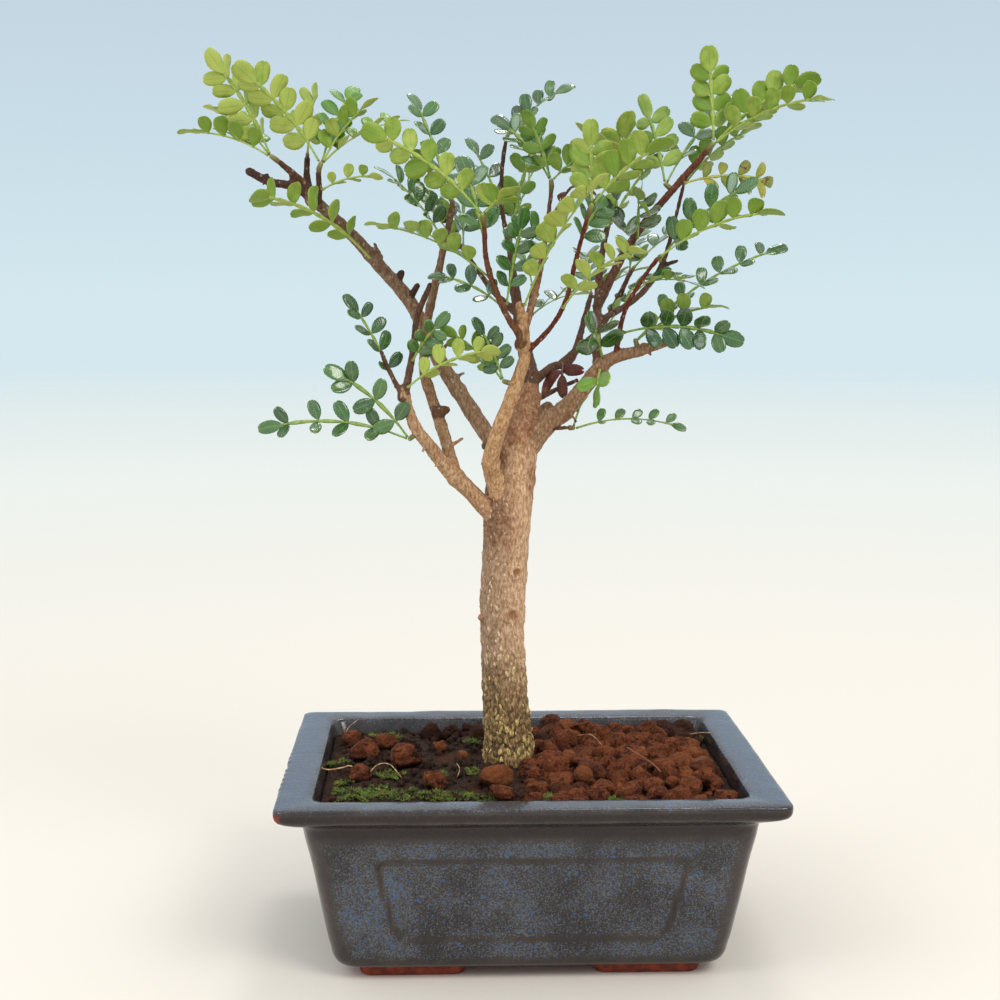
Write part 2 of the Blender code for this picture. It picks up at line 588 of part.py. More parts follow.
def leaf_pattern(pairs, length, leaflet):
    """Flat leaf: points as (along, across, side) and faces. Side is 0 on the rib, -1 or 1 on leaflets."""
    terminal = leaflet * TERMINAL
    reach = length - terminal
    first = max(3.0, reach * (0.34 if pairs < 3 else 0.24))
    pitch = (reach - LAST_PAIR - first) / max(1, pairs - 1)
    wide = min(leaflet * LEAFLET_WIDE, pitch * math.sin(LEAFLET_ANGLE) * 0.88)
    points = [(0.0, -PETIOLE_HALF, 0), (0.0, PETIOLE_HALF, 0)]
    faces = []
    rib = (0, 1)
    for pair in range(pairs):
        along = first + pitch * (pair if pairs > 1 else 0.6)
        size = leaflet * (0.82 + 0.18 * math.sin(math.pi * (pair + 1.2) / (pairs + 1)))
        near, far = [], []
        for side in (-1, 1):
            start = len(points)
            forward = Vector((math.cos(LEAFLET_ANGLE), side * math.sin(LEAFLET_ANGLE)))
            out = Vector((math.sin(LEAFLET_ANGLE), -side * math.cos(LEAFLET_ANGLE)))
            root = Vector((along, side * WING))
            half = wide * size / leaflet / 2
            middle = root + forward * size * WIDEST_AT
            points.append((along - BASE_HALF, side * WING, 0))
            for place in (middle - out * half, root + forward * size, middle + out * half):
                points.append((place.x, place.y, side))
            points.append((along + BASE_HALF, side * WING, 0))
            faces += [(start, start + 1, start + 3), (start, start + 3, start + 4)]
            faces.append((start + 1, start + 2, start + 3))
            near.append(start)
            far.append(start + 4)
        faces += strip(rib, near) + strip(near, far)
        rib = far
    start = len(points)
    for along, across in ((0.0, WING), (0.55, wide / 2), (0.95, wide * 0.3)):
        points.append((reach + terminal * along, -across, 0))
        points.append((reach + terminal * along, across, 0))
    for left, right in ((rib, (start, start + 1)), ((start, start + 1), (start + 2, start + 3)),
                        ((start + 2, start + 3), (start + 4, start + 5))):
        faces += strip(left, right)
    return points, faces


def strip(first, second):
    """Two triangles between two pairs of points across the rib."""
    return [(first[0], first[1], second[1]), (first[0], second[1], second[0])]


class Leaf:
    """One compound leaf on an arched rib."""

    def __init__(self, base, tip, pairs, facing, leaflet):
        self.base, self.tip = base, tip
        chord = tip - base
        lift = Vector((0, 0, 1)) - chord.normalized() * chord.normalized().z
        self.middle = (base + tip) / 2 + lift * chord.length * ARCH * 2
        self.facing = Vector(facing)
        flat, self.faces = leaf_pattern(pairs, chord.length, leaflet)
        self.leaflets = [face for face in self.faces
                         if min(flat[index][0] for index in face) > BUD_RADIUS * 3]
        self.points, self.normals = [], []
        for along, across, side in flat:
            point, normal = self.place(along / chord.length, across, side)
            self.points.append(point)
            self.normals.append(normal)

    def place(self, share, across, side):
        """Point and normal of the blade, its leaflets folded up from the rib."""
        centre = self.base.lerp(self.middle, share).lerp(self.middle.lerp(self.tip, share), share)
        heading = ((self.middle - self.base).lerp(self.tip - self.middle, share)).normalized()
        right = heading.cross(self.facing).normalized()
        normal = right.cross(heading)
        if not side:
            return centre - right * across, normal
        beyond = abs(across) - WING
        point = centre - right * side * (WING + beyond * math.cos(FOLD)) + normal * beyond * math.sin(FOLD)
        return point, (normal * math.cos(FOLD) + right * side * math.sin(FOLD))

    def layers(self, half, faces):
        """Tree of the blade's skins and edges, for the test of crossings."""
        count = len(self.points)
        points = [p + n * half for p, n in zip(self.points, self.normals)]
        points += [p - n * half for p, n in zip(self.points, self.normals)]
        skin = list(faces) + [tuple(index + count for index in face) for face in faces]
        sides = [(face[corner], face[corner - 1]) for face in faces for corner in range(3)]
        for a, b in sides:
            if (b, a) not in sides:
                skin += [(a, b, b + count), (a, b + count, a + count)]
        return BVHTree.FromPolygons(points, skin, all_triangles=True)

    def wood_gap(self, routes):
        """Least room between the blade and the wood, less what its thickness takes."""
        half = BLADE / 2
        least = min(wood_near(routes, point + normal * side)[0] for side in (-half, half)
                    for point, normal in zip(self.points[:2], self.normals[:2]))
        middles = [(self.points[a] + self.points[b] + self.points[c]) / 3 for a, b, c in self.faces[2:]]
        edge = [self.place(step / RIB_TESTS, side * PETIOLE_HALF, 0)[0] for side in (-1, 1)
                for step in range(1, RIB_TESTS)]
        for point in self.points[2:] + middles + edge:
            if least < WOOD_CLEAR:
                break
            least = min(least, wood_near(routes, point)[0] - half)
        return least


def bent(leaf_data, base, inset, bend, way, twist):
    """The same leaf twisted on its rib and with its tip swung by some degrees to one side."""
    tip, pairs, facing, leaflet = leaf_data
    base = base + (tip - base).normalized() * inset
    chord = tip - base
    if bend:
        side = chord.orthogonal().normalized()
        side.rotate(Matrix.Rotation(math.tau * way / BEND_WAYS, 3, chord))
        chord = Matrix.Rotation(math.radians(bend), 3, side) @ chord
    facing = Matrix.Rotation(math.radians(twist), 3, chord) @ Vector(facing)
    return Leaf(base, base + chord, pairs, facing, leaflet)


def settle(leaf_data, base, inset, placed, same, buds, routes):
    """First bend of a leaf that is clear of the wood and of the leaves placed before."""
    for bend in BENDS:
        for way, twist in itertools.product(range(BEND_WAYS if bend else 1), TWISTS):
            leaf = bent(leaf_data, base, inset, bend, way, twist)
            skins = leaf.layers(BLADE / 2 + LEAF_CLEAR, leaf.faces)
            own = leaf.layers(BLADE / 2, leaf.leaflets)
            crossed = (any(skins.overlap(other) for other in placed)
                       or any(own.overlap(other) for other in same))
            near_bud = any((point - bud).length < BUD_RADIUS + BUD_CLEAR
                           for point in leaf.points for bud in buds)
            if not crossed and not near_bud and leaf.wood_gap(routes) >= WOOD_CLEAR:
                return leaf
    return None


def spray_base(foot, tips, routes, room):
    """Place beside the wood where a spray starts."""
    aim = sum(((tip - foot).normalized() for tip in tips), Vector()).normalized()
    _, middle, radius, heading, is_tip = wood_near(routes, foot)
    if not is_tip:
        out = foot - middle
        if out.length < radius * 0.5:
            out = aim.copy()
        aim = out - heading * out.dot(heading)
    elif aim.dot(heading) < 0.2:
        aim = aim + heading * (0.5 - aim.dot(heading))
    aim.normalize()
    base = middle + aim * (radius + room)
    while wood_near(routes, base)[0] < room - 0.1:
        base += aim * 0.1
    return base


def fill_sprays(routes):
    """Rule for the far side of the crown: leaves fan out from the crown's middle."""
    rng = random.Random(FILL_SEED)
    sprays = []
    for name, first, last, count in FILL:
        route = routes[name]
        for index in range(count):
            share = first + (last - first) * (index / max(1, count - 1))
            foot = route[min(len(route) - 1, round(share * (len(route) - 1)))][0]
            outward = (foot - CROWN_HEART).normalized()
            turn = (1 if index % 2 else -1) * rng.uniform(*FILL_TURN)
            outward.rotate(Matrix.Rotation(turn, 3, "Z"))
            outward.z += rng.uniform(*FILL_LIFT)
            tip = foot + outward.normalized() * rng.uniform(*FILL_REACH)
            sprays.append(("dark", foot, [(tip, FILL_PAIRS, FILL_FACING, FILL_LEAFLET)]))
    return sprays


def plan_sprays(routes):
    """All sprays with their leaves settled: tone, base, whether there is a bud, leaves."""
    wanted = [(tone, Vector(foot), [(Vector(tip), min(pairs, MOST_PAIRS), FACING[facing], leaflet)
                                    for tip, pairs, facing, leaflet in leaves])
              for tone, foot, leaves in SPRAYS]
    wanted += fill_sprays(routes)
    wanted += [("dry", Vector(foot), [(Vector(tip), pairs, FACING["half_upper"], leaflet)])
               for foot, tip, pairs, leaflet in DRY_LEAVES]
    plans, skins, buds = [], [], []
    for tone, foot, leaves in wanted:
        has_bud = len(leaves) > 1
        room = GAP + BUD_RADIUS * BUD_ROOM if has_bud else GAP * 1.5
        base = spray_base(foot, [leaf[0] for leaf in leaves], routes, room)
        settled = []
        for leaf_data in leaves:
            same = [leaf.layers(BLADE / 2, leaf.leaflets) for leaf in settled]
            inset = BUD_RADIUS * BUD_INSET if has_bud else 0.0
            leaf = settle(leaf_data, base, inset, skins, same, buds, routes)
            if leaf is not None:
                settled.append(leaf)
        if settled:
            plans.append((tone, base, has_bud, settled))
            skins += [leaf.layers(BLADE / 2, leaf.faces) for leaf in settled]
            buds += [base] if has_bud else []
    return plans


def make_leaf(name, leaf):
    """Leaf blade: its arched surface with a thickness."""
    mesh = bpy.data.meshes.new(name)
    mesh.from_pydata([point * MM for point in leaf.points], [], leaf.faces)
    work = bmesh.new()
    work.from_mesh(mesh)
    bmesh.ops.recalc_face_normals(work, faces=work.faces)
    work.to_mesh(mesh)
    work.free()
    blade = add_object(name, mesh)
    solidify = blade.modifiers.new("thickness", "SOLIDIFY")
    solidify.thickness = BLADE * MM
    solidify.offset = 0.0
    blade.data = evaluated_mesh(blade)
    blade.modifiers.clear()
    return blade


def make_spray(name, plan, material):
    _, base, has_bud, leaves = plan
    blades = [make_leaf(name if not index and not has_bud else "leaf", leaf)
              for index, leaf in enumerate(leaves)]
    spray = blades[0]
    if has_bud:
        work = bmesh.new()
        bmesh.ops.create_icosphere(work, subdivisions=1, radius=BUD_RADIUS * MM,
                                   matrix=Matrix.Translation(base * MM))
        mesh = bpy.data.meshes.new(name)
        work.to_mesh(mesh)
        work.free()
        spray = combine(add_object(name, mesh), blades, "UNION")
    spray.data.materials.clear()
    spray.data.materials.append(material)
    return spray


# Assembly

def centre_on_origin(objects):
    """Move every piece so that the origin is the middle of the bottom of the whole box."""
    corners = [vert.co for obj in objects for vert in obj.data.vertices]
    low = Vector([min(corner[axis] for corner in corners) for axis in range(3)])
    high = Vector([max(corner[axis] for corner in corners) for axis in range(3)])
    shift = Matrix.Translation(-Vector(((low.x + high.x) / 2, (low.y + high.y) / 2, low.z)))
    for obj in objects:
        obj.data.transform(shift)


def build():
    materials = {name: make_material(name) for name in COLOURS}
    objects = [make_pot(materials["glaze"]), make_soil(materials["soil"])]
    for side, x in (("left", -DRAIN_X), ("right", DRAIN_X)):
        objects.append(make_screen("drain_screen_" + side, x, materials["screen"]))
    routes = wood_routes()
    objects.append(make_trunk(routes, materials["bark"]))
    counts = {}
    for plan in plan_sprays(routes):
        kind = "dry_leaf" if plan[0] == "dry" else "leaf_spray"
        counts[kind] = counts.get(kind, 0) + 1
        objects.append(make_spray(f"{kind}_{counts[kind]:02d}", plan, materials[plan[0]]))
    centre_on_origin(objects)
    for obj in objects:
        if obj.name in ("pot", "trunk"):
            obj.data.shade_smooth()
            obj.data.set_sharp_from_angle(angle=math.radians(40))


clear_scene()
parts = bpy.data.collections.new("chinese_pepper_bonsai")
bpy.context.scene.collection.children.link(parts)
build()
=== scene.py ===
"""Looks of a Chinese pepper bonsai in its glazed pot: camera, light, glaze, soil, bark and leaves.

Lengths in the tables are millimetres, with the pot's middle on the ground as their zero, +X to
the right, +Y to the back and +Z up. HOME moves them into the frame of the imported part. Leaves
find their places by the same rules as in the part's source, so they grow where its solids are.
"""
import itertools
import math
import random

import bmesh
import bpy
import numpy as np
from mathutils import Matrix, Vector, noise
from mathutils.bvhtree import BVHTree
from mathutils.geometry import intersect_point_line


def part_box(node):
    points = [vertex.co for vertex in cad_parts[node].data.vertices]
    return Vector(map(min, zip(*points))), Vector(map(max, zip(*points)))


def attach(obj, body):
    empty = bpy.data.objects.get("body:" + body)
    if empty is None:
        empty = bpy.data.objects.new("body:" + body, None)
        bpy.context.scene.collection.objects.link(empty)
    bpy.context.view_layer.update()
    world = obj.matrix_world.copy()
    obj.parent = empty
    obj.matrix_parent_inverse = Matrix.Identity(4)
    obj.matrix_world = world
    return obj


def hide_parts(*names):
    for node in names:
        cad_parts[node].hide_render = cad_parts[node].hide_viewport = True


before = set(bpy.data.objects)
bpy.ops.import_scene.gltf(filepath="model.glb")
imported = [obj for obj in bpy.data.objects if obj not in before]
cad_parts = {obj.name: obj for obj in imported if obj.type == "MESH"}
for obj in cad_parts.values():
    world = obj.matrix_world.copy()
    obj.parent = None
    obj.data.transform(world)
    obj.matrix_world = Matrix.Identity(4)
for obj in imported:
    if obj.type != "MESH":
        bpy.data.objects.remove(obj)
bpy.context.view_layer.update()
MM = 0.001
POT_LOW, POT_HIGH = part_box("pot")
HOME = Vector(((POT_LOW[0] + POT_HIGH[0]) / 2, (POT_LOW[1] + POT_HIGH[1]) / 2, 0.0))

look = bpy.data.collections.new("look")
bpy.context.scene.collection.children.link(look)

# Camera: place, turn to the right, tilt down and roll in degrees, and lens
CAMERA_PLACE = (-27.7, -505.5, 201.6)
CAMERA_YAW = 2.21
CAMERA_PITCH = 6.94
CAMERA_ROLL = 0.18
CAMERA_LENS = 58.36

# Surroundings: floor colour near the pot and far away, the distances in metres over which it fades
# into the sky and over which its colour changes, its radius, and the sky's colours by height
FLOOR_NEAR = (226, 219, 208)
FLOOR_FAR = (246, 248, 240)
FLOOR_FADE = (0.7, 5.0)
FLOOR_BLEND = (0.15, 1.6)
FLOOR_RADIUS = 14.0
SKY = (
    (0.0, (213, 232, 239)), (0.1, (201, 221, 232)), (0.18, (196, 213, 226)), (0.4, (232, 238, 244)),
    (1.0, (255, 255, 255)),
)
# Lights in metres: name, place, size, power, aim and colour
LIGHTS = [
    ("key", (0.55, -0.75, 0.95), (0.5, 0.5), 6.4, (0.0, 0.0, 0.15), (1.0, 0.96, 0.9)),
    ("fill", (-0.8, -0.45, 0.7), (0.5, 0.7), 3.0, (0.0, 0.0, 0.15), (0.94, 0.97, 1.0)),
    ("top", (0.1, 0.45, 0.95), (0.2, 0.2), 1.6, (0.0, 0.0, 0.2), (1.0, 1.0, 1.0)),
]

# Pot: half length of the rim, what the half width is less, and heights
RIM_HALF_X = 75.0
WIDTH_LESS = 17.5
POT_HEIGHT = 58.0
FOOT_HEIGHT = 3.5
FLOOR_TOP = 8.5
OUTER_WALL = [
    (FOOT_HEIGHT, 55.5, 8.0), (4.6, 58.4, 9.0), (6.8, 59.8, 10.0), (9.5, 60.4, 10.0),
    (15.5, 61.7, 10.0), (35.0, 65.0, 10.0), (44.7, 67.0, 10.0), (50.2, 68.2, 10.0),
]
LIP = [
    (51.6, 70.6, 8.0), (53.7, 74.3, 4.5), (57.0, RIM_HALF_X, 4.0), (57.8, 74.0, 4.0),
    (POT_HEIGHT, 70.0, 5.0), (57.6, 65.6, 5.5), (56.5, 64.3, 6.0),
]
INNER_WALL = [
    (50.0, 62.8, 7.0), (38.0, 60.8, 8.0), (11.0, 56.6, 8.0), (FLOOR_TOP, 54.0, 7.0),
]
FOOT_HALF = (16.5, 12.5)
FOOT_CENTRE = (35.5, 25.0)
# Feet: height and how much narrower each ring is, corner radius, and points on a corner
FOOT_RINGS = ((0.0, 1.3), (0.5, 0.8), (2.5, 0.2), (FOOT_HEIGHT + 1.5, 0.0))
FOOT_CORNER = 3.0
FOOT_POINTS = 7
DRAIN_RADIUS = 6.0
DRAIN_X = 27.0
PANEL_DEPTH = 0.7
PANEL_Z = (14.0, 39.5)
PANEL_HALF = (40.0, 46.5)
PANEL_CORNER = 4.0
SIDE_POINTS = (98, 72)
CORNER_POINTS = 10
WALL_STEP = 1.1

# Soil: level at the edge, how it rises inside, and the bed's cells, bottom, half length there, and
# the scale and height of each layer of its roughness
SOIL_LEVEL = 52.6
SOIL_CROWN = [(0.0, 0.0), (9.0, 1.3), (24.0, 2.2)]
BED_CELLS = (104, 76)
BED_BOTTOM = 10.4
BED_FLOOR = 55.6
BED_ROUGHNESS = ((0.09, 1.2), (0.3, 1.3), (1.1, 0.55))
# Single clods on the left: x, y and radius, with what their size is multiplied by and their rise
LOOSE_SIZE = 1.12
LOOSE_RISE = 0.72
LOOSE_CLODS = [
    (-38, -3, 4.8), (-52, 9, 3.8), (-46, 20, 3.4), (-27, 15, 2.2), (-20, 5, 1.8), (-15, 30, 3.0),
    (-29, -26, 3.4), (-52, -14, 2.8), (-10, -24, 4.2), (-9, -36, 3.4), (-30, 33, 3.2), (-57, 30, 3.0),
]
# Heaps of dark peat: middle, reach along x and y, how many lumps, and height
PEAT_HEAPS = [
    (-20.0, 37.0, 8.5, 3.6, 46, 4.6), (56.0, 34.0, 5.0, 8.0, 44, 2.6), (5.0, 22.0, 4.0, 6.0, 22, 1.6),
]
PEAT_RADIUS = (0.9, 2.1)
# Places where the lumps are dark peat, and their reach
DARK_PEAT = [(-22, 37, 11.0), (57, 34, 10.0), (4, 22, 6.0)]
CLOD_FIELD = ((0.0, 61.0), (-45.0, 44.0))
CLOD_RADIUS = (1.7, 4.6)
CLOD_COUNT = 330
CLOD_RISE = (0.25, 0.6)
# Large clods on top of the heap: tries, field, radius and rise
TOP_TRIES = 46
TOP_FIELD = ((6.0, 56.0), (-34.0, 42.0))
TOP_RADIUS = (2.2, 4.0)
TOP_RISE = (1.0, 1.45)
# Clods above this radius have a finer mesh, and each clod has this many flat facets
LARGE_CLOD = 2.7
LUMP_FACETS = 7
# Crumbs: how many, field, radius and height over the bed
CRUMB_COUNT = 820
CRUMB_FIELD = ((-60.5, 60.0), (-43.5, 43.5))
CRUMB_RADIUS = (0.4, 1.6)
CRUMB_RISE = (0.1, 0.8)
SOIL_SEED = 5
# Moss: x, y, reach and how many tufts, then leaves of a tuft, their length, half width and slope
MOSS = [
    (-47, -30, 7.0, 60), (-38, -33, 6.0, 46), (-28, -34, 5.0, 34), (-56, -27, 4.0, 26), (-60, 6, 3.5, 26),
    (-16, 24, 3.6, 26), (6, -37, 3.6, 34), (14, -36, 2.4, 16), (25, -38, 3.8, 44), (-27, -14, 2.4, 12),
    (-43, -14, 5.0, 26), (-17, -12, 3.0, 16), (-45, 33, 6.0, 30), (-8, -20, 2.6, 12), (60, 34, 3.0, 14),
    (-20, -35, 4.5, 34), (-13, -37, 3.0, 16), (-52, -36, 6.0, 40), (-57, -18, 3.0, 16),
]
MOSS_LEAVES = 9
MOSS_LENGTH = (1.1, 2.0)
MOSS_HALF = 0.26
MOSS_SLOPE = (0.35, 1.3)
# Rootlets: radius and route. RED_ROOTLET is the row of the reddish one
ROOTLET_STEP = 1.2
RED_ROOTLET = 2
ROOTLETS = [
    (0.22, [(-67, -4, 57), (-63, -9, 56), (-58, -8, 56.2), (-55, -9, 57), (-50, -15, 55)]),
    (0.18, [(-50, -14, 55), (-47, -8, 57), (-43, -8, 57.2), (-39, -17, 55.5)]),
    (0.26, [(32, -6, 61.6), (34, -14, 62), (38, -22, 61), (40, -28, 60)]),
    (0.11, [(-60, 32, 55), (-58, 35, 58), (-55, 37, 60)]),
    (0.14, [(56, 19, 59), (60, 17, 60), (64, 16, 60)]),
    (0.14, [(18, 14, 60), (22, 8, 62), (25, 3, 60)]),
    (0.1, [(-22, -16, 55), (-21, -13, 57), (-22, -10, 58)]),
    (0.12, [(-12, -20, 55), (-10, -17, 56.6), (-8, -19, 56)]),
]

# Trunk below ground
STUMP = Vector((-5.0, 6.0, 36.0))
STUMP_RADIUS = 8.2

# Wood: name, radius at the start and at the end, and the route of the middle line
BRANCHES = [
    ("low_left", 3.2, 1.5, [(-6, 6, 130), (-18, 2, 143), (-24, 0, 149), (-30, -3, 157), (-35, -5, 164),
                            (-38, -7, 174)]),
    ("low_left_up", 1.3, 0.9, [(-38, -7, 172), (-35, -8, 188), (-34, -8, 197), (-30, -9, 207)]),
    ("low_left_thin", 0.9, 0.7, [(-38, -7, 172), (-43, -9, 182), (-45, -10, 187)]),
    ("low_left_back", 2.1, 1.0, [(-22, 1, 147), (-26, 5, 161), (-30, 8, 173), (-32, 8, 181), (-31, 6, 195),
                                 (-27, 1, 213), (-23, -1, 231)]),
    ("left", 2.8, 1.8, [(-4, 7, 150), (-12, 8, 160), (-20, 12, 172), (-27, 14, 183), (-36, 15, 201),
                        (-46, 12, 213), (-55, 9, 223), (-67, 4, 234)]),
    ("left_out", 1.4, 1.3, [(-65, 5, 233), (-73, 2, 237), (-79, 0, 238), (-85, -2, 241)]),
    ("left_a", 1.5, 0.9, [(-66, 4, 233), (-69, 3, 238), (-76, 0, 244)]),
    ("left_b", 1.4, 0.9, [(-66, 4, 233), (-68, 6, 239), (-68, 8, 246)]),
    ("left_c", 1.2, 0.9, [(-65, 5, 231), (-64, 2, 235), (-64, 0, 241)]),
    ("mid", 3.1, 1.4, [(-7, 4, 138), (-11, -1, 150), (-10, -6, 159), (-4, -9, 176), (-1, -10, 187),
                       (-3, -13, 201)]),
    ("mid_r", 1.2, 0.7, [(-2, -12, 191), (2, -10, 205), (5, -7, 220), (7, -5, 236)]),
    ("mid_l", 1.1, 0.8, [(-2, -12, 190), (-8, -16, 200), (-13, -20, 213), (-14, -23, 225)]),
    ("leader", 3.0, 1.1, [(1, 9, 168), (2, 13, 178), (0, 18, 188), (-3, 26, 209), (-4, 30, 220)]),
    ("leader_top", 0.9, 0.7, [(-4, 29, 217), (-7, 25, 233), (-7, 19, 245), (-6, 14, 253)]),
    ("leader_r", 1.6, 0.9, [(1, 12, 175), (9, 17, 181), (16, 22, 184), (23, 34, 204)]),
    ("back_l", 1.3, 0.8, [(-1, 22, 197), (-10, 30, 206), (-20, 34, 220)]),
    ("back_r", 1.3, 0.8, [(12, 20, 182), (26, 27, 194), (36, 31, 212)]),
    ("back_m", 1.3, 0.8, [(1, 14, 181), (1, 27, 191), (4, 37, 206)]),
    ("right", 3.9, 1.3, [(-1, 8, 154), (7, 4, 164), (12, 2, 168), (19, -2, 177), (25, -4, 184),
                         (34, -8, 187), (43, -10, 190)]),
    ("right_up", 1.6, 0.8, [(22, -2, 181), (22, 3, 194), (24, 10, 216), (29, 14, 237)]),
    ("right_top", 1.6, 1.0, [(22, 5, 200), (30, 5, 216), (38, 3, 228), (55, -2, 248)]),
    ("right_back", 1.1, 0.6, [(23, 4, 196), (36, 9, 204), (44, 10, 216), (50, 10, 240)]),
    ("red", 0.9, 0.7, [(-1, -10, 186), (7, -14, 195), (11, -16, 203), (13, -18, 212), (17, -20, 228)]),
    ("red_right", 0.9, 0.7, [(27, -5, 185), (29, -12, 199), (34, -16, 209), (38, -19, 215)]),
    ("low_right", 0.8, 0.6, [(7, 4, 162), (13, -2, 163)]),
    ("low_right_back", 1.0, 0.7, [(2, 10, 170), (10, 13, 174), (17, 14, 177)]),
    # Short stubs and spurs left by pruning
    ("stub_1", 1.1, 1.2, [(-41, 14, 206), (-39, 13, 211)]),
    ("stub_2", 1.1, 1.0, [(-37, 15, 202), (-34, 11, 207)]),
    ("stub_3", 2.4, 1.5, [(-29, 6, 167), (-25, 5, 168)]),
    ("stub_8", 2.4, 1.4, [(-8, 3, 155), (-13, 1, 157)]),
    ("stub_10", 2.6, 2.0, [(4, 8, 163), (7, 5, 169)]),
    ("stub_11", 2.4, 1.4, [(-9, 5, 101), (-14, 3, 102)]),
    ("stub_13", 0.9, 0.6, [(43, 10, 213), (48, 9, 215)]),
]
TRUNK_ROUTE = [
    (-5, 6, 36), (-5, 6, 55), (-5, 6, 62), (-6, 6, 74), (-7, 6, 94), (-7, 6, 107), (-6, 6, 125),
    (-5, 7, 142), (-3, 8, 155), (0, 9, 164), (2, 10, 173),
]
TRUNK_RADII = [8.2, 8.2, 7.8, 7.2, 7.0, 7.3, 7.3, 7.8, 7.2, 5.4, 3.0]
TRUNK_STEP = 9.0
WOOD_STEP = 12.0
DOME = (0.8, 0.45)
# Small spurs that only show from close by, and how deep they start: radius, start and end
SPUR_SUNK = 2.0
SPURS = [
    (0.55, (-22, 13, 178), (-18, 11, 180)), (0.5, (-26, 15, 187), (-23, 13, 190)),
    (0.5, (-31, -4, 158), (-33, -6, 155)), (0.45, (-27, -2, 153), (-29, -4, 150)),
    (0.5, (-22, 2, 158), (-19, 1, 160)), (0.5, (-12, -3, 153), (-15, -5, 152)),
    (0.5, (-4, -10, 176), (-7, -12, 178)), (0.55, (18, -3, 176), (17, -6, 180)),
    (0.5, (28, -6, 185), (30, -8, 189)), (0.5, (36, -9, 188), (38, -11, 185)),
    (0.45, (14, -1, 167), (16, -3, 164)), (0.5, (-46, 11, 217), (-48, 9, 221)),
    (0.45, (-72, 2, 237), (-73, 1, 241)), (0.45, (-80, -1, 239), (-81, -3, 236)),
    (0.45, (24, 7, 208), (21, 5, 211)), (0.45, (2, -10, 205), (0, -12, 208)),
]
# Knobs and swellings: centre and radius
KNOBS = [
    ((-4, 7, 146), 7.7), ((-7, 5, 131), 5.4), ((-7, 3, 140), 4.0), ((1, 8, 160), 5.2), ((-3, 8, 152), 6.8),
    ((-22, 1, 147), 3.2), ((-66, 4, 233), 2.7), ((23, -3, 182), 2.8), ((-2, -11, 189), 2.6),
    ((-38, -7, 173), 2.3), ((-12, 4, 102), 2.0), ((1, 11, 174), 3.0),
]
# Pruning scars on the trunk: place on the bark and radius of the healed ring
SCARS = [((-3, -1, 117), 1.7), ((-1, -1, 112), 1.4), ((-4, -1, 103), 2.2), ((-1, -1, 78), 2.0)]
# Raised corky pores on the trunk: lowest and highest, how many, half length, and reach from its middle
LENTICELS = [
    (56.0, 70.0, 200, 1.25), (66.0, 92.0, 260, 1.1), (90.0, 118.0, 200, 0.85), (116.0, 150.0, 150, 0.6),
]
LENTICEL_REACH = 10.5
BARK_SEED = 7
# Fine routes of trunk and branches, sides of their tubes, and cell of their common skin
FINE_STEPS = (3.0, 2.2)
TRUNK_SIDES = 24
BRANCH_SIDES = 14
SPUR_SIDES = 8
SKIN_CELL = 0.5 * MM
NEAR_BLOCK = 3000
# Colours at the start and at the end of each branch
BARK_TONES = {
    "trunk": ((204, 174, 146), (190, 160, 130)), "low_left": ((208, 170, 134), (198, 166, 132)),
    "low_left_up": ((112, 84, 66), (94, 66, 54)), "low_left_thin": ((118, 88, 66), (94, 68, 56)),
    "low_left_back": ((190, 158, 124), (116, 88, 72)), "left": ((188, 160, 132), (124, 98, 84)),
    "left_out": ((94, 68, 58), (78, 52, 46)), "left_a": ((92, 62, 50), (104, 66, 48)),
    "left_b": ((86, 60, 50), (74, 50, 44)), "left_c": ((92, 64, 50), (86, 52, 40)),
    "mid": ((216, 178, 136), (206, 168, 126)), "mid_r": ((174, 136, 102), (116, 78, 62)),
    "mid_l": ((128, 92, 64), (110, 50, 34)), "leader": ((112, 86, 70), (98, 72, 60)),
    "leader_top": ((100, 74, 60), (90, 64, 52)), "leader_r": ((108, 82, 66), (96, 70, 58)),
    "back_l": ((106, 80, 64), (94, 68, 56)), "back_r": ((106, 80, 64), (94, 68, 56)),
    "back_m": ((106, 80, 64), (94, 68, 56)), "right": ((186, 154, 122), (156, 124, 98)),
    "right_up": ((120, 94, 78), (106, 70, 54)), "right_top": ((106, 82, 68), (114, 62, 44)),
    "right_back": ((108, 84, 72), (92, 68, 60)), "red": ((112, 56, 38), (122, 50, 30)),
    "red_right": ((114, 60, 42), (122, 52, 32)), "low_right": ((112, 78, 56), (120, 96, 60)),
    "low_right_back": ((106, 80, 62), (96, 68, 54)), "stub_3": ((122, 94, 74), (92, 64, 52)),
    "stub_8": ((140, 110, 84), (112, 82, 64)), "stub_10": ((154, 124, 96), (124, 94, 72)),
    "stub_11": ((186, 156, 128), (160, 126, 98)),
}
STUB_TONE = (82, 60, 50)

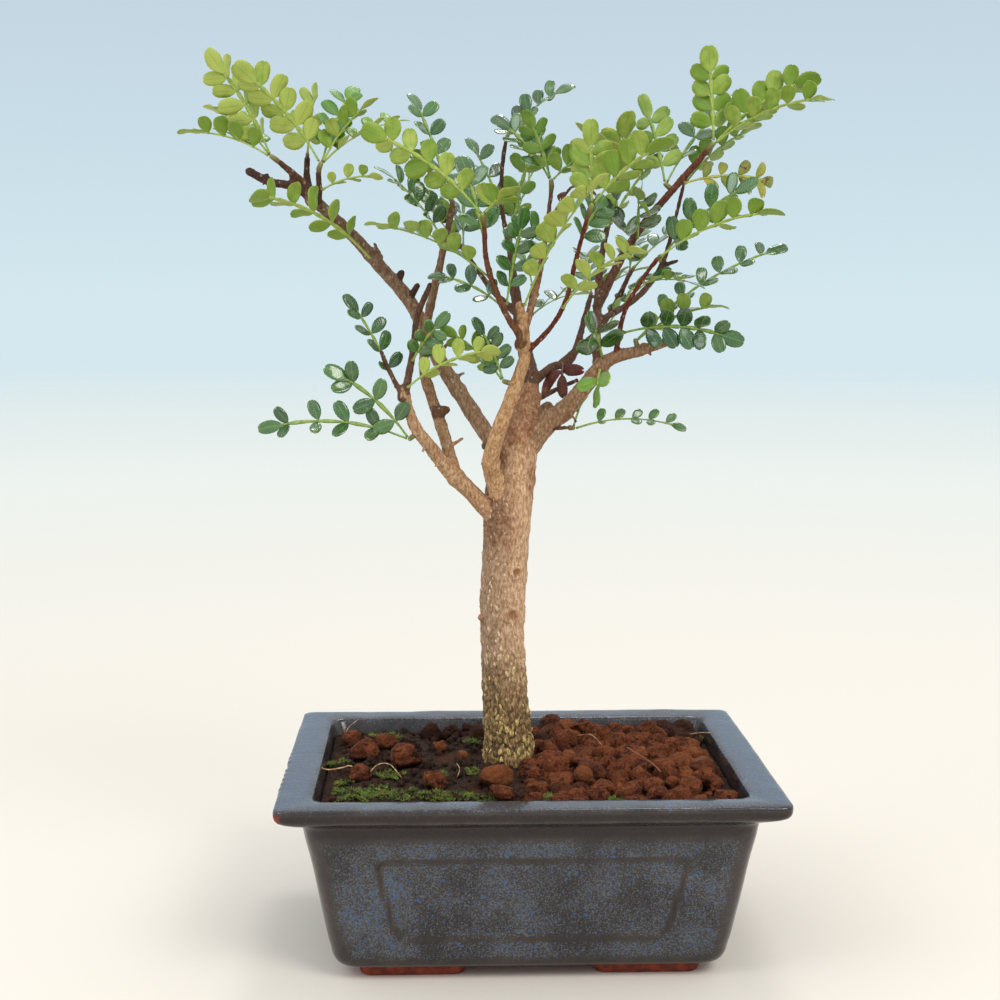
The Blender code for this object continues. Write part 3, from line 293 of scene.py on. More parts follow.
# Leaves: where the upper side of a leaf looks, and the shape that all leaves share. SPRAYS gives
# each spray's tone, its foot on the wood, and its leaves as tip, pairs, facing and leaflet length
FACING = {
    "under": (0.0, 0.9, 0.45), "half_under": (0.0, 0.6, 0.8), "level": (0.0, 0.05, 1.0),
    "half_upper": (0.0, -0.5, 0.85), "upper": (0.0, -0.9, 0.45),
}
GAP = 0.3
BLADE = 0.7
WING = 0.65
PETIOLE_HALF = 0.35
BASE_HALF = 0.6
LAST_PAIR = 1.6
TERMINAL = 1.1
LEAFLET_WIDE = 0.58
WIDEST_AT = 0.6
LEAFLET_ANGLE = math.radians(60)
FOLD = math.radians(34)
BUD_RADIUS = 1.6
ARCH = 0.09
MOST_PAIRS = 3
SPRAYS = [
    ("lime", (-64, 0, 242), [((-88, -14, 271), 5, "under", 8.0), ((-53, 18, 269), 4, "upper", 6.5),
                             ((-45, 2, 263), 4, "half_under", 6.5),
                             ((-38, 18, 260), 4, "half_upper", 6.0)]),
    ("lime", (-77, 0, 245), [((-96, -14, 275), 5, "under", 8.0), ((-106, -6, 252), 4, "half_under", 7.0),
                             ((-100, 14, 262), 4, "level", 7.0)]),
    ("lime", (-68, 8, 247), [((-66, 22, 270), 3, "half_under", 6.5)]),
    ("lime", (-63, 1, 236), [((-44, -6, 239), 3, "half_under", 4.5)]),
    ("lime", (-49, 7, 215), [((-82, -30, 232), 5, "half_under", 7.5)]),
    ("lime", (-14, -23, 226), [((-50, -30, 251), 5, "under", 7.5),
                               ((-4, -34, 234), 2, "half_under", 8.0)]),
    ("dark", (-23, -1, 232), [((-36, 6, 266), 4, "half_upper", 6.5),
                              ((-40, -6, 249), 3, "half_under", 6.0)]),
    ("dark", (7, -5, 237), [((-11, 6, 259), 4, "upper", 7.5), ((-2, -12, 259), 3, "half_under", 6.5),
                            ((22, -14, 247), 3, "half_under", 7.5)]),
    ("dark", (-4, 30, 222), [((5, 18, 258), 4, "half_under", 7.0), ((-18, 40, 256), 4, "level", 7.0),
                             ((8, 48, 252), 4, "level", 7.0)]),
    ("lime", (-2, -14, 202), [((20, -42, 238), 6, "half_under", 8.0)]),
    ("dark", (-9, -15, 201), [((-31, -9, 210), 3, "half_upper", 6.0)]),
    ("lime", (17, -20, 230), [((40, -36, 248), 4, "half_under", 8.5),
                              ((17, -24, 255), 4, "half_under", 7.5)]),
    ("dark", (-5, -9, 177), [((-17, -14, 197), 4, "upper", 6.0), ((-27, -12, 194), 4, "half_under", 5.5)]),
    ("lime", (-37, -8, 176), [((-10, -24, 189), 4, "half_under", 6.0)]),
    ("dark", (-35, -10, 184), [((-25, -19, 197), 3, "upper", 6.0)]),
    ("dark", (-40, -8, 176), [((-58, -6, 203), 4, "half_upper", 6.5)]),
    ("dark", (-36, -5, 160), [((-62, -12, 182), 3, "upper", 7.5), ((-82, -14, 165), 4, "upper", 7.0)]),
    ("dark", (14, -2, 163), [((49, -10, 163), 5, "half_upper", 4.6),
                             ((18, 10, 173), 1, "half_upper", 4.5)]),
    ("lime", (22, -7, 181), [((20, -16, 170), 1, "half_under", 7.5)]),
    ("dark", (23, -5, 186), [((17, -22, 197), 2, "upper", 9.0)]),
    ("lime", (56, -2, 249), [((54, -6, 279), 4, "under", 7.5), ((87, -14, 269), 5, "under", 7.5),
                             ((88, -28, 261), 5, "half_under", 7.0)]),
    ("yellow", (48, 0, 239), [((78, 4, 242), 4, "half_upper", 6.0)]),
    ("dark", (41, 7, 216), [((69, -14, 238), 4, "upper", 8.0)]),
    ("lime", (38, -19, 217), [((73, -34, 228), 5, "half_under", 7.5)]),
    ("dark", (33, -8, 190), [((80, -6, 219), 6, "half_upper", 6.5),
                             ((59, -24, 201), 4, "half_under", 6.5)]),
    ("lime", (10, -17, 200), [((35, -47, 217), 5, "half_under", 6.5)]),
    ("dark", (35, 0, 221), [((33, -14, 243), 4, "upper", 7.5)]),
    ("dark", (44, 1, 237), [((71, 22, 269), 4, "half_upper", 7.0), ((36, 10, 266), 4, "half_under", 7.5)]),
    ("dark", (28, -9, 193), [((65, -20, 188), 5, "upper", 7.0)]),
    ("lime", (29, 14, 239), [((31, 0, 260), 4, "under", 9.0), ((18, 2, 258), 3, "level", 7.5)]),
    ("dark", (-26, -1, 221), [((-47, -4, 243), 5, "half_upper", 7.0)]),
    ("dark", (-14, -19, 219), [((-20, -14, 247), 3, "upper", 8.5)]),
    ("dark", (-12, -18, 209), [((-49, -32, 224), 6, "half_upper", 7.5)]),
    ("dark", (-8, -16, 201), [((-3, -22, 230), 4, "upper", 6.5)]),
    ("dark", (4, -8, 222), [((-8, -20, 221), 2, "upper", 6.0)]),
    ("dark", (14, -15, 219), [((24, -6, 234), 3, "upper", 7.0)]),
    ("dark", (26, 10, 226), [((29, -8, 236), 3, "upper", 7.0)]),
    ("dark", (34, -16, 208), [((51, -27, 206), 3, "half_upper", 6.5)]),
    ("dark", (-6, 14, 254), [((15, 8, 269), 4, "half_upper", 6.5)]),
]
FILL = [
    ("back_l", 0.5, 1.0, 3), ("back_m", 0.6, 1.0, 2), ("back_r", 0.5, 1.0, 3), ("leader_r", 0.7, 1.0, 2),
    ("right_back", 0.8, 1.0, 1), ("right_up", 0.7, 0.8, 1),
]
FILL_SEED = 11
FILL_REACH = (25.0, 33.0)
FILL_TURN = (0.35, 1.0)
FILL_LIFT = (-0.1, 0.45)
FILL_FACING = (0.0, 0.25, 1.0)
FILL_LEAFLET = 6.8
FILL_PAIRS = 2
FINE_FILL_PAIRS = 4
LONG_FILL = 28.5
CROWN_HEART = Vector((0.0, 4.0, 190.0))
BENDS = [0, 4, 8, 12, 17, 23, 30, 38, 46]
BEND_WAYS = 12
TWISTS = [0, 20, -20, 40, -40]
LEAF_CLEAR = 0.5
BUD_CLEAR = 1.0
BUD_ROOM = 0.9
BUD_INSET = 0.6
RIB_TESTS = 18
WOOD_CLEAR = 0.15
DRY_LEAVES = [((12, 18, 182), (9, 14, 169), 1, 8.0), ((6, -6, 228), (18, 0, 242), 1, 6.0)]

# Fine leaflets: points along and across, width and curl by tone, half thickness, and how deep
# the foot of a spray starts in a tip
STATIONS = 21
ACROSS = (-1.0, -0.55, 0.0, 0.55, 1.0)
WIDTHS = {"lime": 0.7, "dark": 0.64, "yellow": 0.6, "dry": 0.45}
CURLS = {"lime": 0.1, "dark": 0.12, "yellow": 0.5, "dry": 0.7}
LEAF_SEED = 23
BLADE_MIDDLE = 0.15
BLADE_RIM = 0.07
NECK_SUNK = 2.5
# Foot of a spray with a bud and without: radii from inside the wood outward, and its end
NECKS = {True: ((0.6, 0.85, 0.75, 0.45), 0.6), False: ((0.5, 0.62, 0.5, 0.3), 0.5)}
NECK_SIDES = 10
# Leaf colours: deep and bright upper side, dull underside, pale veins, and stem
LEAF_COLOURS = {
    "lime": ((72, 122, 30), (112, 152, 52), (116, 146, 46), (166, 180, 84), (140, 162, 66)),
    "dark": ((28, 72, 24), (62, 108, 42), (100, 134, 48), (144, 166, 76), (112, 140, 54)),
    "yellow": ((112, 124, 36), (160, 156, 54), (156, 158, 66), (184, 180, 86), (150, 156, 68)),
    "dry": ((64, 26, 20), (96, 42, 30), (92, 48, 36), (120, 66, 48), (84, 50, 34)),
}
# Roughness of the upper side, and how much clear gloss lies over it
LEAF_GLOSS = {"dark": (0.24, 1.0), "lime": (0.36, 0.2), "yellow": (0.5, 0.0), "dry": (0.7, 0.0)}


# Shader helpers

def srgb(*values):
    """Linear colour of 8-bit display values."""
    return tuple((v / 255 / 12.92 if v <= 10 else ((v / 255 + 0.055) / 1.055) ** 2.4) for v in values)


class Shader:
    """Material built from nodes around one Principled shader."""

    def __init__(self, name, **sockets):
        self.material = bpy.data.materials.new(name)
        self.material.use_nodes = True
        self.tree = self.material.node_tree
        self.surface = self.tree.nodes["Principled BSDF"]
        self.object = self.add("ShaderNodeTexCoord").outputs["Object"]
        for socket, value in sockets.items():
            self.surface.inputs[socket.replace("_", " ")].default_value = value

    def add(self, kind, settings=None, **inputs):
        node = self.tree.nodes.new(kind)
        for key, value in (settings or {}).items():
            setattr(node, key, value)
        for key, value in inputs.items():
            self.plug(value, node.inputs[key.replace("_", " ")])
        return node

    def plug(self, value, socket):
        if isinstance(value, bpy.types.NodeSocket):
            self.tree.links.new(value, socket)
        else:
            socket.default_value = value

    def plug_colour(self, colour, socket):
        self.plug(colour if isinstance(colour, bpy.types.NodeSocket) else (*colour, 1.0), socket)

    def mapped(self, scale):
        return self.add("ShaderNodeMapping", Vector=self.object, Scale=scale).outputs[0]

    def noise(self, scale, detail=2.0, vector=None, rough=0.5):
        node = self.add("ShaderNodeTexNoise", Vector=vector or self.object, Scale=scale, Detail=detail,
                        Roughness=rough)
        return node.outputs["Fac"]

    def cells(self, scale, vector=None):
        node = self.add("ShaderNodeTexVoronoi", Vector=vector or self.object, Scale=scale)
        return node.outputs["Distance"]

    def attribute(self, name, output="Fac"):
        return self.add("ShaderNodeAttribute", {"attribute_name": name}).outputs[output]

    def step(self, value, low, high, to_low=0.0, to_high=1.0):
        """Smooth step of a value between two limits."""
        node = self.add("ShaderNodeMapRange", {"interpolation_type": "SMOOTHSTEP"}, Value=value,
                        From_Min=low, From_Max=high, To_Min=to_low, To_Max=to_high)
        return node.outputs[0]

    def math(self, operation, first, second=0.5):
        node = self.add("ShaderNodeMath", {"operation": operation})
        self.plug(first, node.inputs[0])
        self.plug(second, node.inputs[1])
        return node.outputs[0]

    def mix(self, factor, first, second, blend="MIX"):
        node = self.add("ShaderNodeMix", {"data_type": "RGBA", "blend_type": blend})
        self.plug(factor, node.inputs[0])
        self.plug_colour(first, node.inputs[6])
        self.plug_colour(second, node.inputs[7])
        return node.outputs[2]

    def bump(self, height, distance, strength=1.0):
        return self.add("ShaderNodeBump", Height=height, Distance=distance, Strength=strength).outputs[0]

    def finish(self, colour, roughness=None, normal=None):
        self.plug_colour(colour, self.surface.inputs["Base Color"])
        for value, socket in ((roughness, "Roughness"), (normal, "Normal")):
            if value is not None:
                self.plug(value, self.surface.inputs[socket])
        return self.material


# Materials

def glaze_material():
    """Speckled blue over dark brown, brown where it thins, grey-blue where it pools on the lip."""
    shader = Shader("blue_glaze", Specular_IOR_Level=0.5)
    thin = shader.attribute("thin")
    pool = shader.attribute("pool")
    bare = shader.attribute("bare")
    patches = shader.noise(70.0, 6.0, rough=0.6)
    fine = shader.noise(1950.0, 3.0, rough=0.7)
    coarse = shader.noise(950.0, 3.0)
    ground = shader.mix(shader.step(patches, 0.35, 0.65), srgb(36, 31, 31), srgb(57, 48, 44))
    amount = shader.math("ADD", shader.math("MULTIPLY", patches, 0.32), shader.math("MULTIPLY", thin, -0.3))
    flecks = shader.step(shader.math("ADD", fine, amount), 0.62, 0.8, 0.0, 0.85)
    colour = shader.mix(flecks, ground, srgb(90, 100, 110))
    cobalt = shader.step(shader.math("ADD", coarse, shader.math("MULTIPLY", amount, 0.8)), 0.72, 0.82)
    colour = shader.mix(cobalt, colour, srgb(54, 84, 126))
    sparks = shader.step(shader.cells(1300.0), 0.14, 0.08)
    colour = shader.mix(shader.math("MULTIPLY", sparks, 0.45), colour, srgb(140, 148, 156))
    lip = shader.mix(shader.step(coarse, 0.42, 0.7), srgb(58, 64, 70), srgb(52, 82, 122))
    colour = shader.mix(pool, colour, lip)
    brown = shader.mix(shader.step(fine, 0.45, 0.7), srgb(20, 9, 9), srgb(52, 33, 28))
    colour = shader.mix(shader.step(thin, 0.45, 0.95), colour, brown)
    clay = shader.mix(shader.step(shader.noise(400.0, 4.0), 0.35, 0.7), srgb(96, 34, 16), srgb(140, 58, 30))
    colour = shader.mix(bare, colour, clay)
    roughness = shader.step(bare, 0.2, 0.8, 0.16, 0.8)
    dimples = shader.noise(420.0, 3.0)
    return shader.finish(colour, roughness, shader.bump(dimples, 0.0004, 0.35))


def peat_material():
    shader = Shader("dark_peat", Specular_IOR_Level=0.25)
    crumbs = shader.noise(900.0, 6.0, rough=0.7)
    patches = shader.noise(120.0, 3.0)
    colour = shader.mix(shader.step(crumbs, 0.35, 0.7), srgb(24, 16, 12), srgb(74, 48, 32))
    colour = shader.mix(shader.step(patches, 0.52, 0.72, 0.0, 0.55), colour, srgb(92, 50, 30))
    return shader.finish(colour, 0.95, shader.bump(crumbs, 0.0012))


def clod_material():
    """Porous red-brown clay, with painted highlights on the bulges of its fine relief, and painted shade in
    its dips, in the hollows of its pores and under each clod.
    """
    shader = Shader("red_clay_clods", Specular_IOR_Level=0.2)
    tone = shader.attribute("tone")
    clod_painted_shade = shader.attribute("pit")
    grain = shader.noise(1500.0, 6.0, rough=0.75)
    blotch = shader.noise(260.0, 3.0)
    colour = shader.mix(shader.step(blotch, 0.3, 0.7), srgb(78, 38, 22), srgb(124, 66, 37))
    # Painted highlight: pale where the fine grain, which is also the height of the bump, bulges
    colour = shader.mix(shader.step(grain, 0.5, 0.75), colour, srgb(170, 104, 66))
    # Painted shade: dark where the fine grain dips
    colour = shader.mix(shader.step(grain, 0.48, 0.3), colour, srgb(50, 22, 14))
    # Painted shade in the hollows of the pores and under each clod
    colour = shader.mix(shader.step(clod_painted_shade, 0.25, 0.85, 0.0, 0.85), colour, srgb(34, 16, 11))
    colour = shader.mix(shader.step(tone, 0.6, 0.9, 0.0, 0.85), colour, srgb(50, 29, 21))
    colour = shader.mix(shader.step(tone, 0.25, 0.0, 0.0, 0.35), colour, srgb(160, 96, 54))
    return shader.finish(colour, 0.95, shader.bump(grain, 0.0009))


def bark_material():
    """Bark: a tint for each branch, fine fissures along it, pale lenticels, cork at the foot."""
    shader = Shader("bark", Specular_IOR_Level=0.3)
    tint = shader.attribute("tint", "Color")
    cork = shader.attribute("cork")
    relief = shader.attribute("relief")
    scar = shader.attribute("scar")
    along = shader.mapped((1.0, 1.0, 0.42))
    streaks = shader.noise(1400.0, 5.0, along, 0.65)
    blotch = shader.noise(190.0, 4.0)
    colour = shader.mix(shader.step(streaks, 0.32, 0.7), srgb(184, 162, 140), srgb(255, 251, 246))
    colour = shader.mix(1.0, tint, colour, "MULTIPLY")
    colour = shader.mix(shader.step(blotch, 0.56, 0.72, 0.0, 0.35), colour, srgb(112, 66, 38))
    dots = shader.step(shader.cells(560.0, shader.mapped((1.0, 1.0, 0.6))), 0.22, 0.12)
    dots = shader.math("MULTIPLY", dots, shader.step(cork, 0.6, 0.1, 0.0, 0.42))
    colour = shader.mix(dots, colour, shader.mix(0.55, tint, srgb(240, 222, 196)))
    cracks = shader.noise(1000.0, 5.0, shader.mapped((1.0, 1.0, 0.55)), 0.7)
    cracks = shader.step(cracks, 0.46, 0.36, 0.0, 0.6)
    colour = shader.mix(cracks, colour, shader.mix(1.0, tint, srgb(142, 112, 88), "MULTIPLY"))
    flakes = shader.mix(shader.step(streaks, 0.4, 0.62), srgb(102, 74, 46), srgb(168, 136, 90))
    flakes = shader.mix(shader.step(relief, 0.4, 0.05, 0.0, 0.75), flakes, srgb(64, 48, 28))
    flakes = shader.mix(shader.step(blotch, 0.54, 0.68, 0.0, 0.35), flakes, srgb(96, 98, 48))
    colour = shader.mix(cork, colour, flakes)
    colour = shader.mix(scar, colour, srgb(138, 82, 50))
    grain = shader.math("ADD", streaks, shader.math("MULTIPLY", shader.noise(3200.0, 3.0), 0.4))
    return shader.finish(colour, 0.82, shader.bump(grain, 0.0005, 0.7))


def pore_material():
    """Corky pores, yellow at the foot of the trunk and pale above."""
    shader = Shader("cork_pores", Specular_IOR_Level=0.25, Roughness=0.85)
    tone = shader.attribute("tone")
    grain = shader.noise(1500.0, 4.0, shader.mapped((1.0, 1.0, 0.5)), 0.6)
    low = shader.mix(shader.step(grain, 0.35, 0.65), srgb(146, 116, 66), srgb(214, 190, 124))
    high = shader.mix(shader.step(grain, 0.35, 0.65), srgb(176, 142, 108), srgb(226, 200, 168))
    return shader.finish(shader.mix(tone, low, high), None, shader.bump(grain, 0.0003, 0.6))


def leaflet_marks(shader, mottle):
    """What both sides share: age, way off the midrib, slanting side veins and gland dots."""
    uv = shader.add("ShaderNodeUVMap", {"uv_map": "leaf"}).outputs[0]
    split = shader.add("ShaderNodeSeparateXYZ", Vector=uv)
    age = shader.math("ADD", shader.attribute("tone"), shader.math("SUBTRACT", mottle, 0.5))
    off_rib = shader.math("ABSOLUTE", shader.math("SUBTRACT", split.outputs["Y"], 0.5))
    slant = shader.math("SUBTRACT", split.outputs["X"], shader.math("MULTIPLY", off_rib, 0.35))
    veins = shader.math("SINE", shader.math("MULTIPLY", slant, 50.0), 0.0)
    return shader.step(age, 0.1, 0.9), off_rib, veins, shader.step(shader.cells(1150.0), 0.17, 0.09)


def upper_material(tone):
    """Upper side of a leaflet: glossy, with a paler midrib, faint side veins and gland dots."""
    deep, bright, _, pale, _ = (srgb(*colour) for colour in LEAF_COLOURS[tone])
    gloss, coat = LEAF_GLOSS[tone]
    shader = Shader(f"leaf_upper_{tone}", Specular_IOR_Level=0.5, Coat_Weight=coat, Coat_Roughness=0.12,
                    Subsurface_Weight=0.08, Subsurface_Scale=0.0008, Roughness=gloss)
    mottle = shader.noise(420.0, 4.0)
    age, off_rib, veins, glands = leaflet_marks(shader, mottle)
    colour = shader.mix(age, deep, bright)
    colour = shader.mix(shader.step(off_rib, 0.035, 0.008, 0.0, 0.4), colour, pale)
    colour = shader.mix(shader.step(veins, 0.8, 1.0, 0.0, 0.12), colour, pale)
    colour = shader.mix(shader.math("MULTIPLY", glands, 0.3), colour, pale)
    if tone in ("yellow", "dry"):
        spots = shader.step(shader.noise(520.0, 3.0), 0.58, 0.66)
        colour = shader.mix(spots, colour, srgb(92, 60, 30))
    height = shader.math("ADD", mottle, shader.math("MULTIPLY", veins, 0.1))
    return shader.finish(colour, None, shader.bump(height, 0.0004, 0.5))


def under_material(tone):
    """Underside of a leaflet: pale and matt, with a dark midrib and a pale margin."""
    _, _, dull, pale, _ = (srgb(*colour) for colour in LEAF_COLOURS[tone])
    dark = tuple(value * 0.62 for value in dull)
    shader = Shader(f"leaf_under_{tone}", Specular_IOR_Level=0.35, Subsurface_Weight=0.12,
                    Subsurface_Scale=0.0008, Roughness=0.5)
    mottle = shader.noise(380.0, 4.0)
    age, off_rib, veins, glands = leaflet_marks(shader, mottle)
    colour = shader.mix(age, dull, pale)
    colour = shader.mix(shader.step(off_rib, 0.03, 0.01, 0.0, 0.45), colour, dark)
    colour = shader.mix(shader.step(veins, 0.75, 1.0, 0.0, 0.14), colour, dark)
    colour = shader.mix(shader.step(off_rib, 0.4, 0.5, 0.0, 0.35), colour, pale)
    colour = shader.mix(shader.math("MULTIPLY", glands, 0.35), colour, dark)
    return shader.finish(colour, None, shader.bump(mottle, 0.0004, 0.3))


def stem_material(tone):
    """Winged rib and leaf stalk, brownish at each joint."""
    *_, pale, stem = LEAF_COLOURS[tone]
    shader = Shader(f"leaf_stem_{tone}", Specular_IOR_Level=0.45, Roughness=0.42)
    joint = shader.attribute("joint")
    streaks = shader.noise(900.0, 3.0)
    colour = shader.mix(shader.step(streaks, 0.35, 0.65), srgb(*stem), srgb(*pale))
    colour = shader.mix(shader.step(joint, 0.35, 0.9, 0.0, 0.9), colour, srgb(100, 68, 42))
    return shader.finish(colour, None, shader.bump(streaks, 0.0003, 0.3))


def moss_material():
    shader = Shader("moss", Specular_IOR_Level=0.3, Roughness=0.7)
    tone = shader.attribute("tone")
    colour = shader.mix(tone, srgb(40, 54, 20), srgb(112, 132, 48))
    withered = shader.step(shader.noise(420.0, 3.0), 0.5, 0.64, 0.0, 0.7)
    return shader.finish(shader.mix(withered, colour, srgb(122, 112, 50)))


def rootlet_material():
    shader = Shader("pale_rootlets", Specular_IOR_Level=0.3, Roughness=0.7)
    tone = shader.attribute("tone")
    streaks = shader.step(shader.noise(700.0, 3.0), 0.35, 0.65)
    colour = shader.mix(streaks, srgb(150, 108, 66), srgb(214, 184, 134))
    return shader.finish(shader.mix(tone, colour, srgb(118, 62, 46)))


def mesh_screen_material():
    shader = Shader("screen_plastic", Specular_IOR_Level=0.4, Roughness=0.5)
    grain = shader.noise(500.0, 3.0)
    colour = shader.mix(shader.step(grain, 0.3, 0.7), srgb(24, 24, 24), srgb(46, 46, 44))
    return shader.finish(colour, None, shader.bump(grain, 0.0002))


# Mesh helpers

def new_mesh(name, points, faces):
    """Mesh from points in millimetres."""
    mesh = bpy.data.meshes.new(name)
    places = np.asarray(points, dtype=float) * MM + np.array(HOME)
    mesh.from_pydata(places.tolist(), [], [tuple(face) for face in faces])
    return mesh


def link_object(name, data):
    obj = bpy.data.objects.new(name, data)
    look.objects.link(obj)
    return obj


def make_piece(name, points, faces, materials, slot, replaced=(), indices=None, uvs=None, **values):
    """Piece of the look from points in millimetres, with its attributes, riding on the one body."""
    mesh = new_mesh(name, points, faces)
    for material in materials:
        mesh.materials.append(material)
    if indices is not None:
        mesh.polygons.foreach_set("material_index", np.asarray(indices, dtype=np.int32))
    return dress_piece(name, mesh, slot, replaced, uvs, **values)


def dress_piece(name, mesh, slot, replaced=(), uvs=None, tints=None, **values):
    for key, numbers in values.items():
        layer = mesh.attributes.new(key, "FLOAT", "POINT")
        layer.data.foreach_set("value", np.asarray(numbers, dtype=np.float32))
    if tints is not None:
        layer = mesh.attributes.new("tint", "FLOAT_COLOR", "POINT")
        layer.data.foreach_set("color", np.asarray(tints, dtype=np.float32).ravel())
    if uvs is not None:
        corners = np.empty(len(mesh.loops), dtype=np.int32)
        mesh.loops.foreach_get("vertex_index", corners)
        layer = mesh.uv_layers.new(name="leaf")
        layer.data.foreach_set("uv", np.asarray(uvs, dtype=np.float32)[corners].ravel())
    mesh.shade_smooth()
    mesh.update()
    piece = link_object(name, mesh)
    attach(piece, "root")
    if replaced:
        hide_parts(*replaced)
    return piece


def outward(mesh):
    """Turn all faces of closed bodies outward."""
    work = bmesh.new()
    work.from_mesh(mesh)
    bmesh.ops.recalc_face_normals(work, faces=work.faces)
    work.to_mesh(mesh)
    work.free()


def loose_object(name, points, faces):
    mesh = new_mesh(name, points, faces)
    outward(mesh)
    return link_object(name, mesh)


def evaluated_mesh(obj):
    depsgraph = bpy.context.evaluated_depsgraph_get()
    return bpy.data.meshes.new_from_object(obj.evaluated_get(depsgraph))


def points_of(mesh):
    """Vertices of a mesh in millimetres from the tables' zero."""
    places = np.empty(len(mesh.vertices) * 3)
    mesh.vertices.foreach_get("co", places)
    return (places.reshape(-1, 3) - np.array(HOME)) / MM


def move_points(mesh, points):
    mesh.vertices.foreach_set("co", (points * MM + np.array(HOME)).ravel())


def normals_of(mesh):
    normals = np.empty(len(mesh.vertices) * 3)
    mesh.vertex_normals.foreach_get("vector", normals)
    return normals.reshape(-1, 3)


def field(points, scale, seed=0.0, stretch=(1.0, 1.0, 1.0)):
    """Smooth noise between about -1 and 1 at many points."""
    placed = np.asarray(points) * np.array(stretch) * scale + seed
    return np.array([noise.noise(point) for point in placed.tolist()])


def smooth(value, low, high):
    """Smooth step of a value between two limits."""
    t = np.clip((value - low) / (high - low), 0.0, 1.0)
    return t * t * (3 - 2 * t)


def curve_point(a, b, c, d, t):
    """Point at share t from b to c on the smooth curve through four points."""
    return 0.5 * (2 * b + (c - a) * t + (2 * a - 5 * b + 4 * c - d) * t * t
                  + (3 * b - a - 3 * c + d) * t ** 3)


def ring_sides(levels, count, start=0):
    """Quads between rings of points that lie one after another."""
    faces = []
    for level in range(levels - 1):
        low, high = start + level * count, start + (level + 1) * count
        for index in range(count):
            after = (index + 1) % count
            faces.append((low + index, low + after, high + after, high + index))
    return faces


def sweep(route, sides, start=0):
    """Round closed tube along (point, radius) pairs: points and faces."""
    points = []
    heading = (route[1][0] - route[0][0]).normalized()
    across = heading.orthogonal().normalized()
    for index, (centre, radius) in enumerate(route):
        ahead = route[min(index + 1, len(route) - 1)][0] - route[max(index - 1, 0)][0]
        across = (across - ahead * across.dot(ahead) / max(ahead.length_squared, 1e-9)).normalized()
        other = ahead.normalized().cross(across)
        for side in range(sides):
            angle = math.tau * side / sides
            points.append(centre + (across * math.cos(angle) + other * math.sin(angle)) * radius)
    faces = ring_sides(len(route), sides, start)
    faces.append(tuple(start + side for side in reversed(range(sides))))
    faces.append(tuple(start + (len(route) - 1) * sides + side for side in range(sides)))
    return points, faces


class Bodies:
    """Gathers the points, faces and tones of many small bodies for one mesh."""

    def __init__(self):
        self.points, self.faces, self.tones, self.total = [], [], [], 0

    def add(self, points, triangles, tone=0.0):
        self.points.append(points)
        self.faces += (triangles + self.total).tolist()
        self.tones += [tone] * len(points)
        self.total += len(points)


def unit_ball(subdivisions):
    work = bmesh.new()
    bmesh.ops.create_icosphere(work, subdivisions=subdivisions, radius=1.0)
    points = np.array([vert.co[:] for vert in work.verts])
    faces = np.array([[vert.index for vert in face.verts] for face in work.faces])
    work.free()
    return points, faces


# Pot

def pot_ring(z, half_x, radius):
    """Closed ring of a rounded rectangle with evenly split sides."""
    half = (half_x, half_x - WIDTH_LESS)
    corners = [Vector(c) for c in ((-half[0], -half[1]), (half[0], -half[1]), half, (-half[0], half[1]))]
    ring = []
    for index, corner in enumerate(corners):
        back = (corners[index - 1] - corner).normalized() * radius
        ahead = corners[(index + 1) % 4] - corner
        start = ahead.normalized() * radius
        ring += [corner + back * (1 - t) ** 2 + start * t ** 2
                 for t in (step / CORNER_POINTS for step in range(CORNER_POINTS))]
        count = SIDE_POINTS[index % 2]
        ring += [corner + start + (ahead - start * 2) * (step / count) for step in range(count)]
    return [(point.x, point.y, z) for point in ring]


def pot_levels():
    """Rings from the base up the wall, round the lip and down the inner wall."""
    control = [Vector(ring) for ring in OUTER_WALL + LIP]
    padded = [control[0]] + control + [Vector(INNER_WALL[0])]
    levels = []
    for index in range(len(control) - 1):
        a, b, c, d = padded[index:index + 4]
        pieces = max(2, math.ceil((c - b).xy.length / WALL_STEP))
        for piece in range(pieces):
            levels.append(curve_point(a, b, c, d, piece / pieces))
    return levels + [control[-1]] + [Vector(ring) for ring in INNER_WALL]


def panel_distance(points):
    """How far inside its wall's panel each point lies, less than 0 outside, and is it on a long wall."""
    x, y, z = np.abs(points[:, 0]), np.abs(points[:, 1]), points[:, 2]
    on_long = x - RIM_HALF_X < y - (RIM_HALF_X - WIDTH_LESS)
    along = np.where(on_long, x, y + WIDTH_LESS)
    share = (z - PANEL_Z[0]) / (PANEL_Z[1] - PANEL_Z[0])
    half = PANEL_HALF[0] + (PANEL_HALF[1] - PANEL_HALF[0]) * share
    to_side = (half - along) * 0.96
    to_edge = np.minimum(z - PANEL_Z[0], PANEL_Z[1] - z)
    side_part, edge_part = PANEL_CORNER - to_side, PANEL_CORNER - to_edge
    corner = PANEL_CORNER - np.hypot(np.maximum(side_part, 0), np.maximum(edge_part, 0))
    inside = np.where((side_part > 0) & (edge_part > 0), corner, np.minimum(to_side, to_edge))
    return inside, on_long


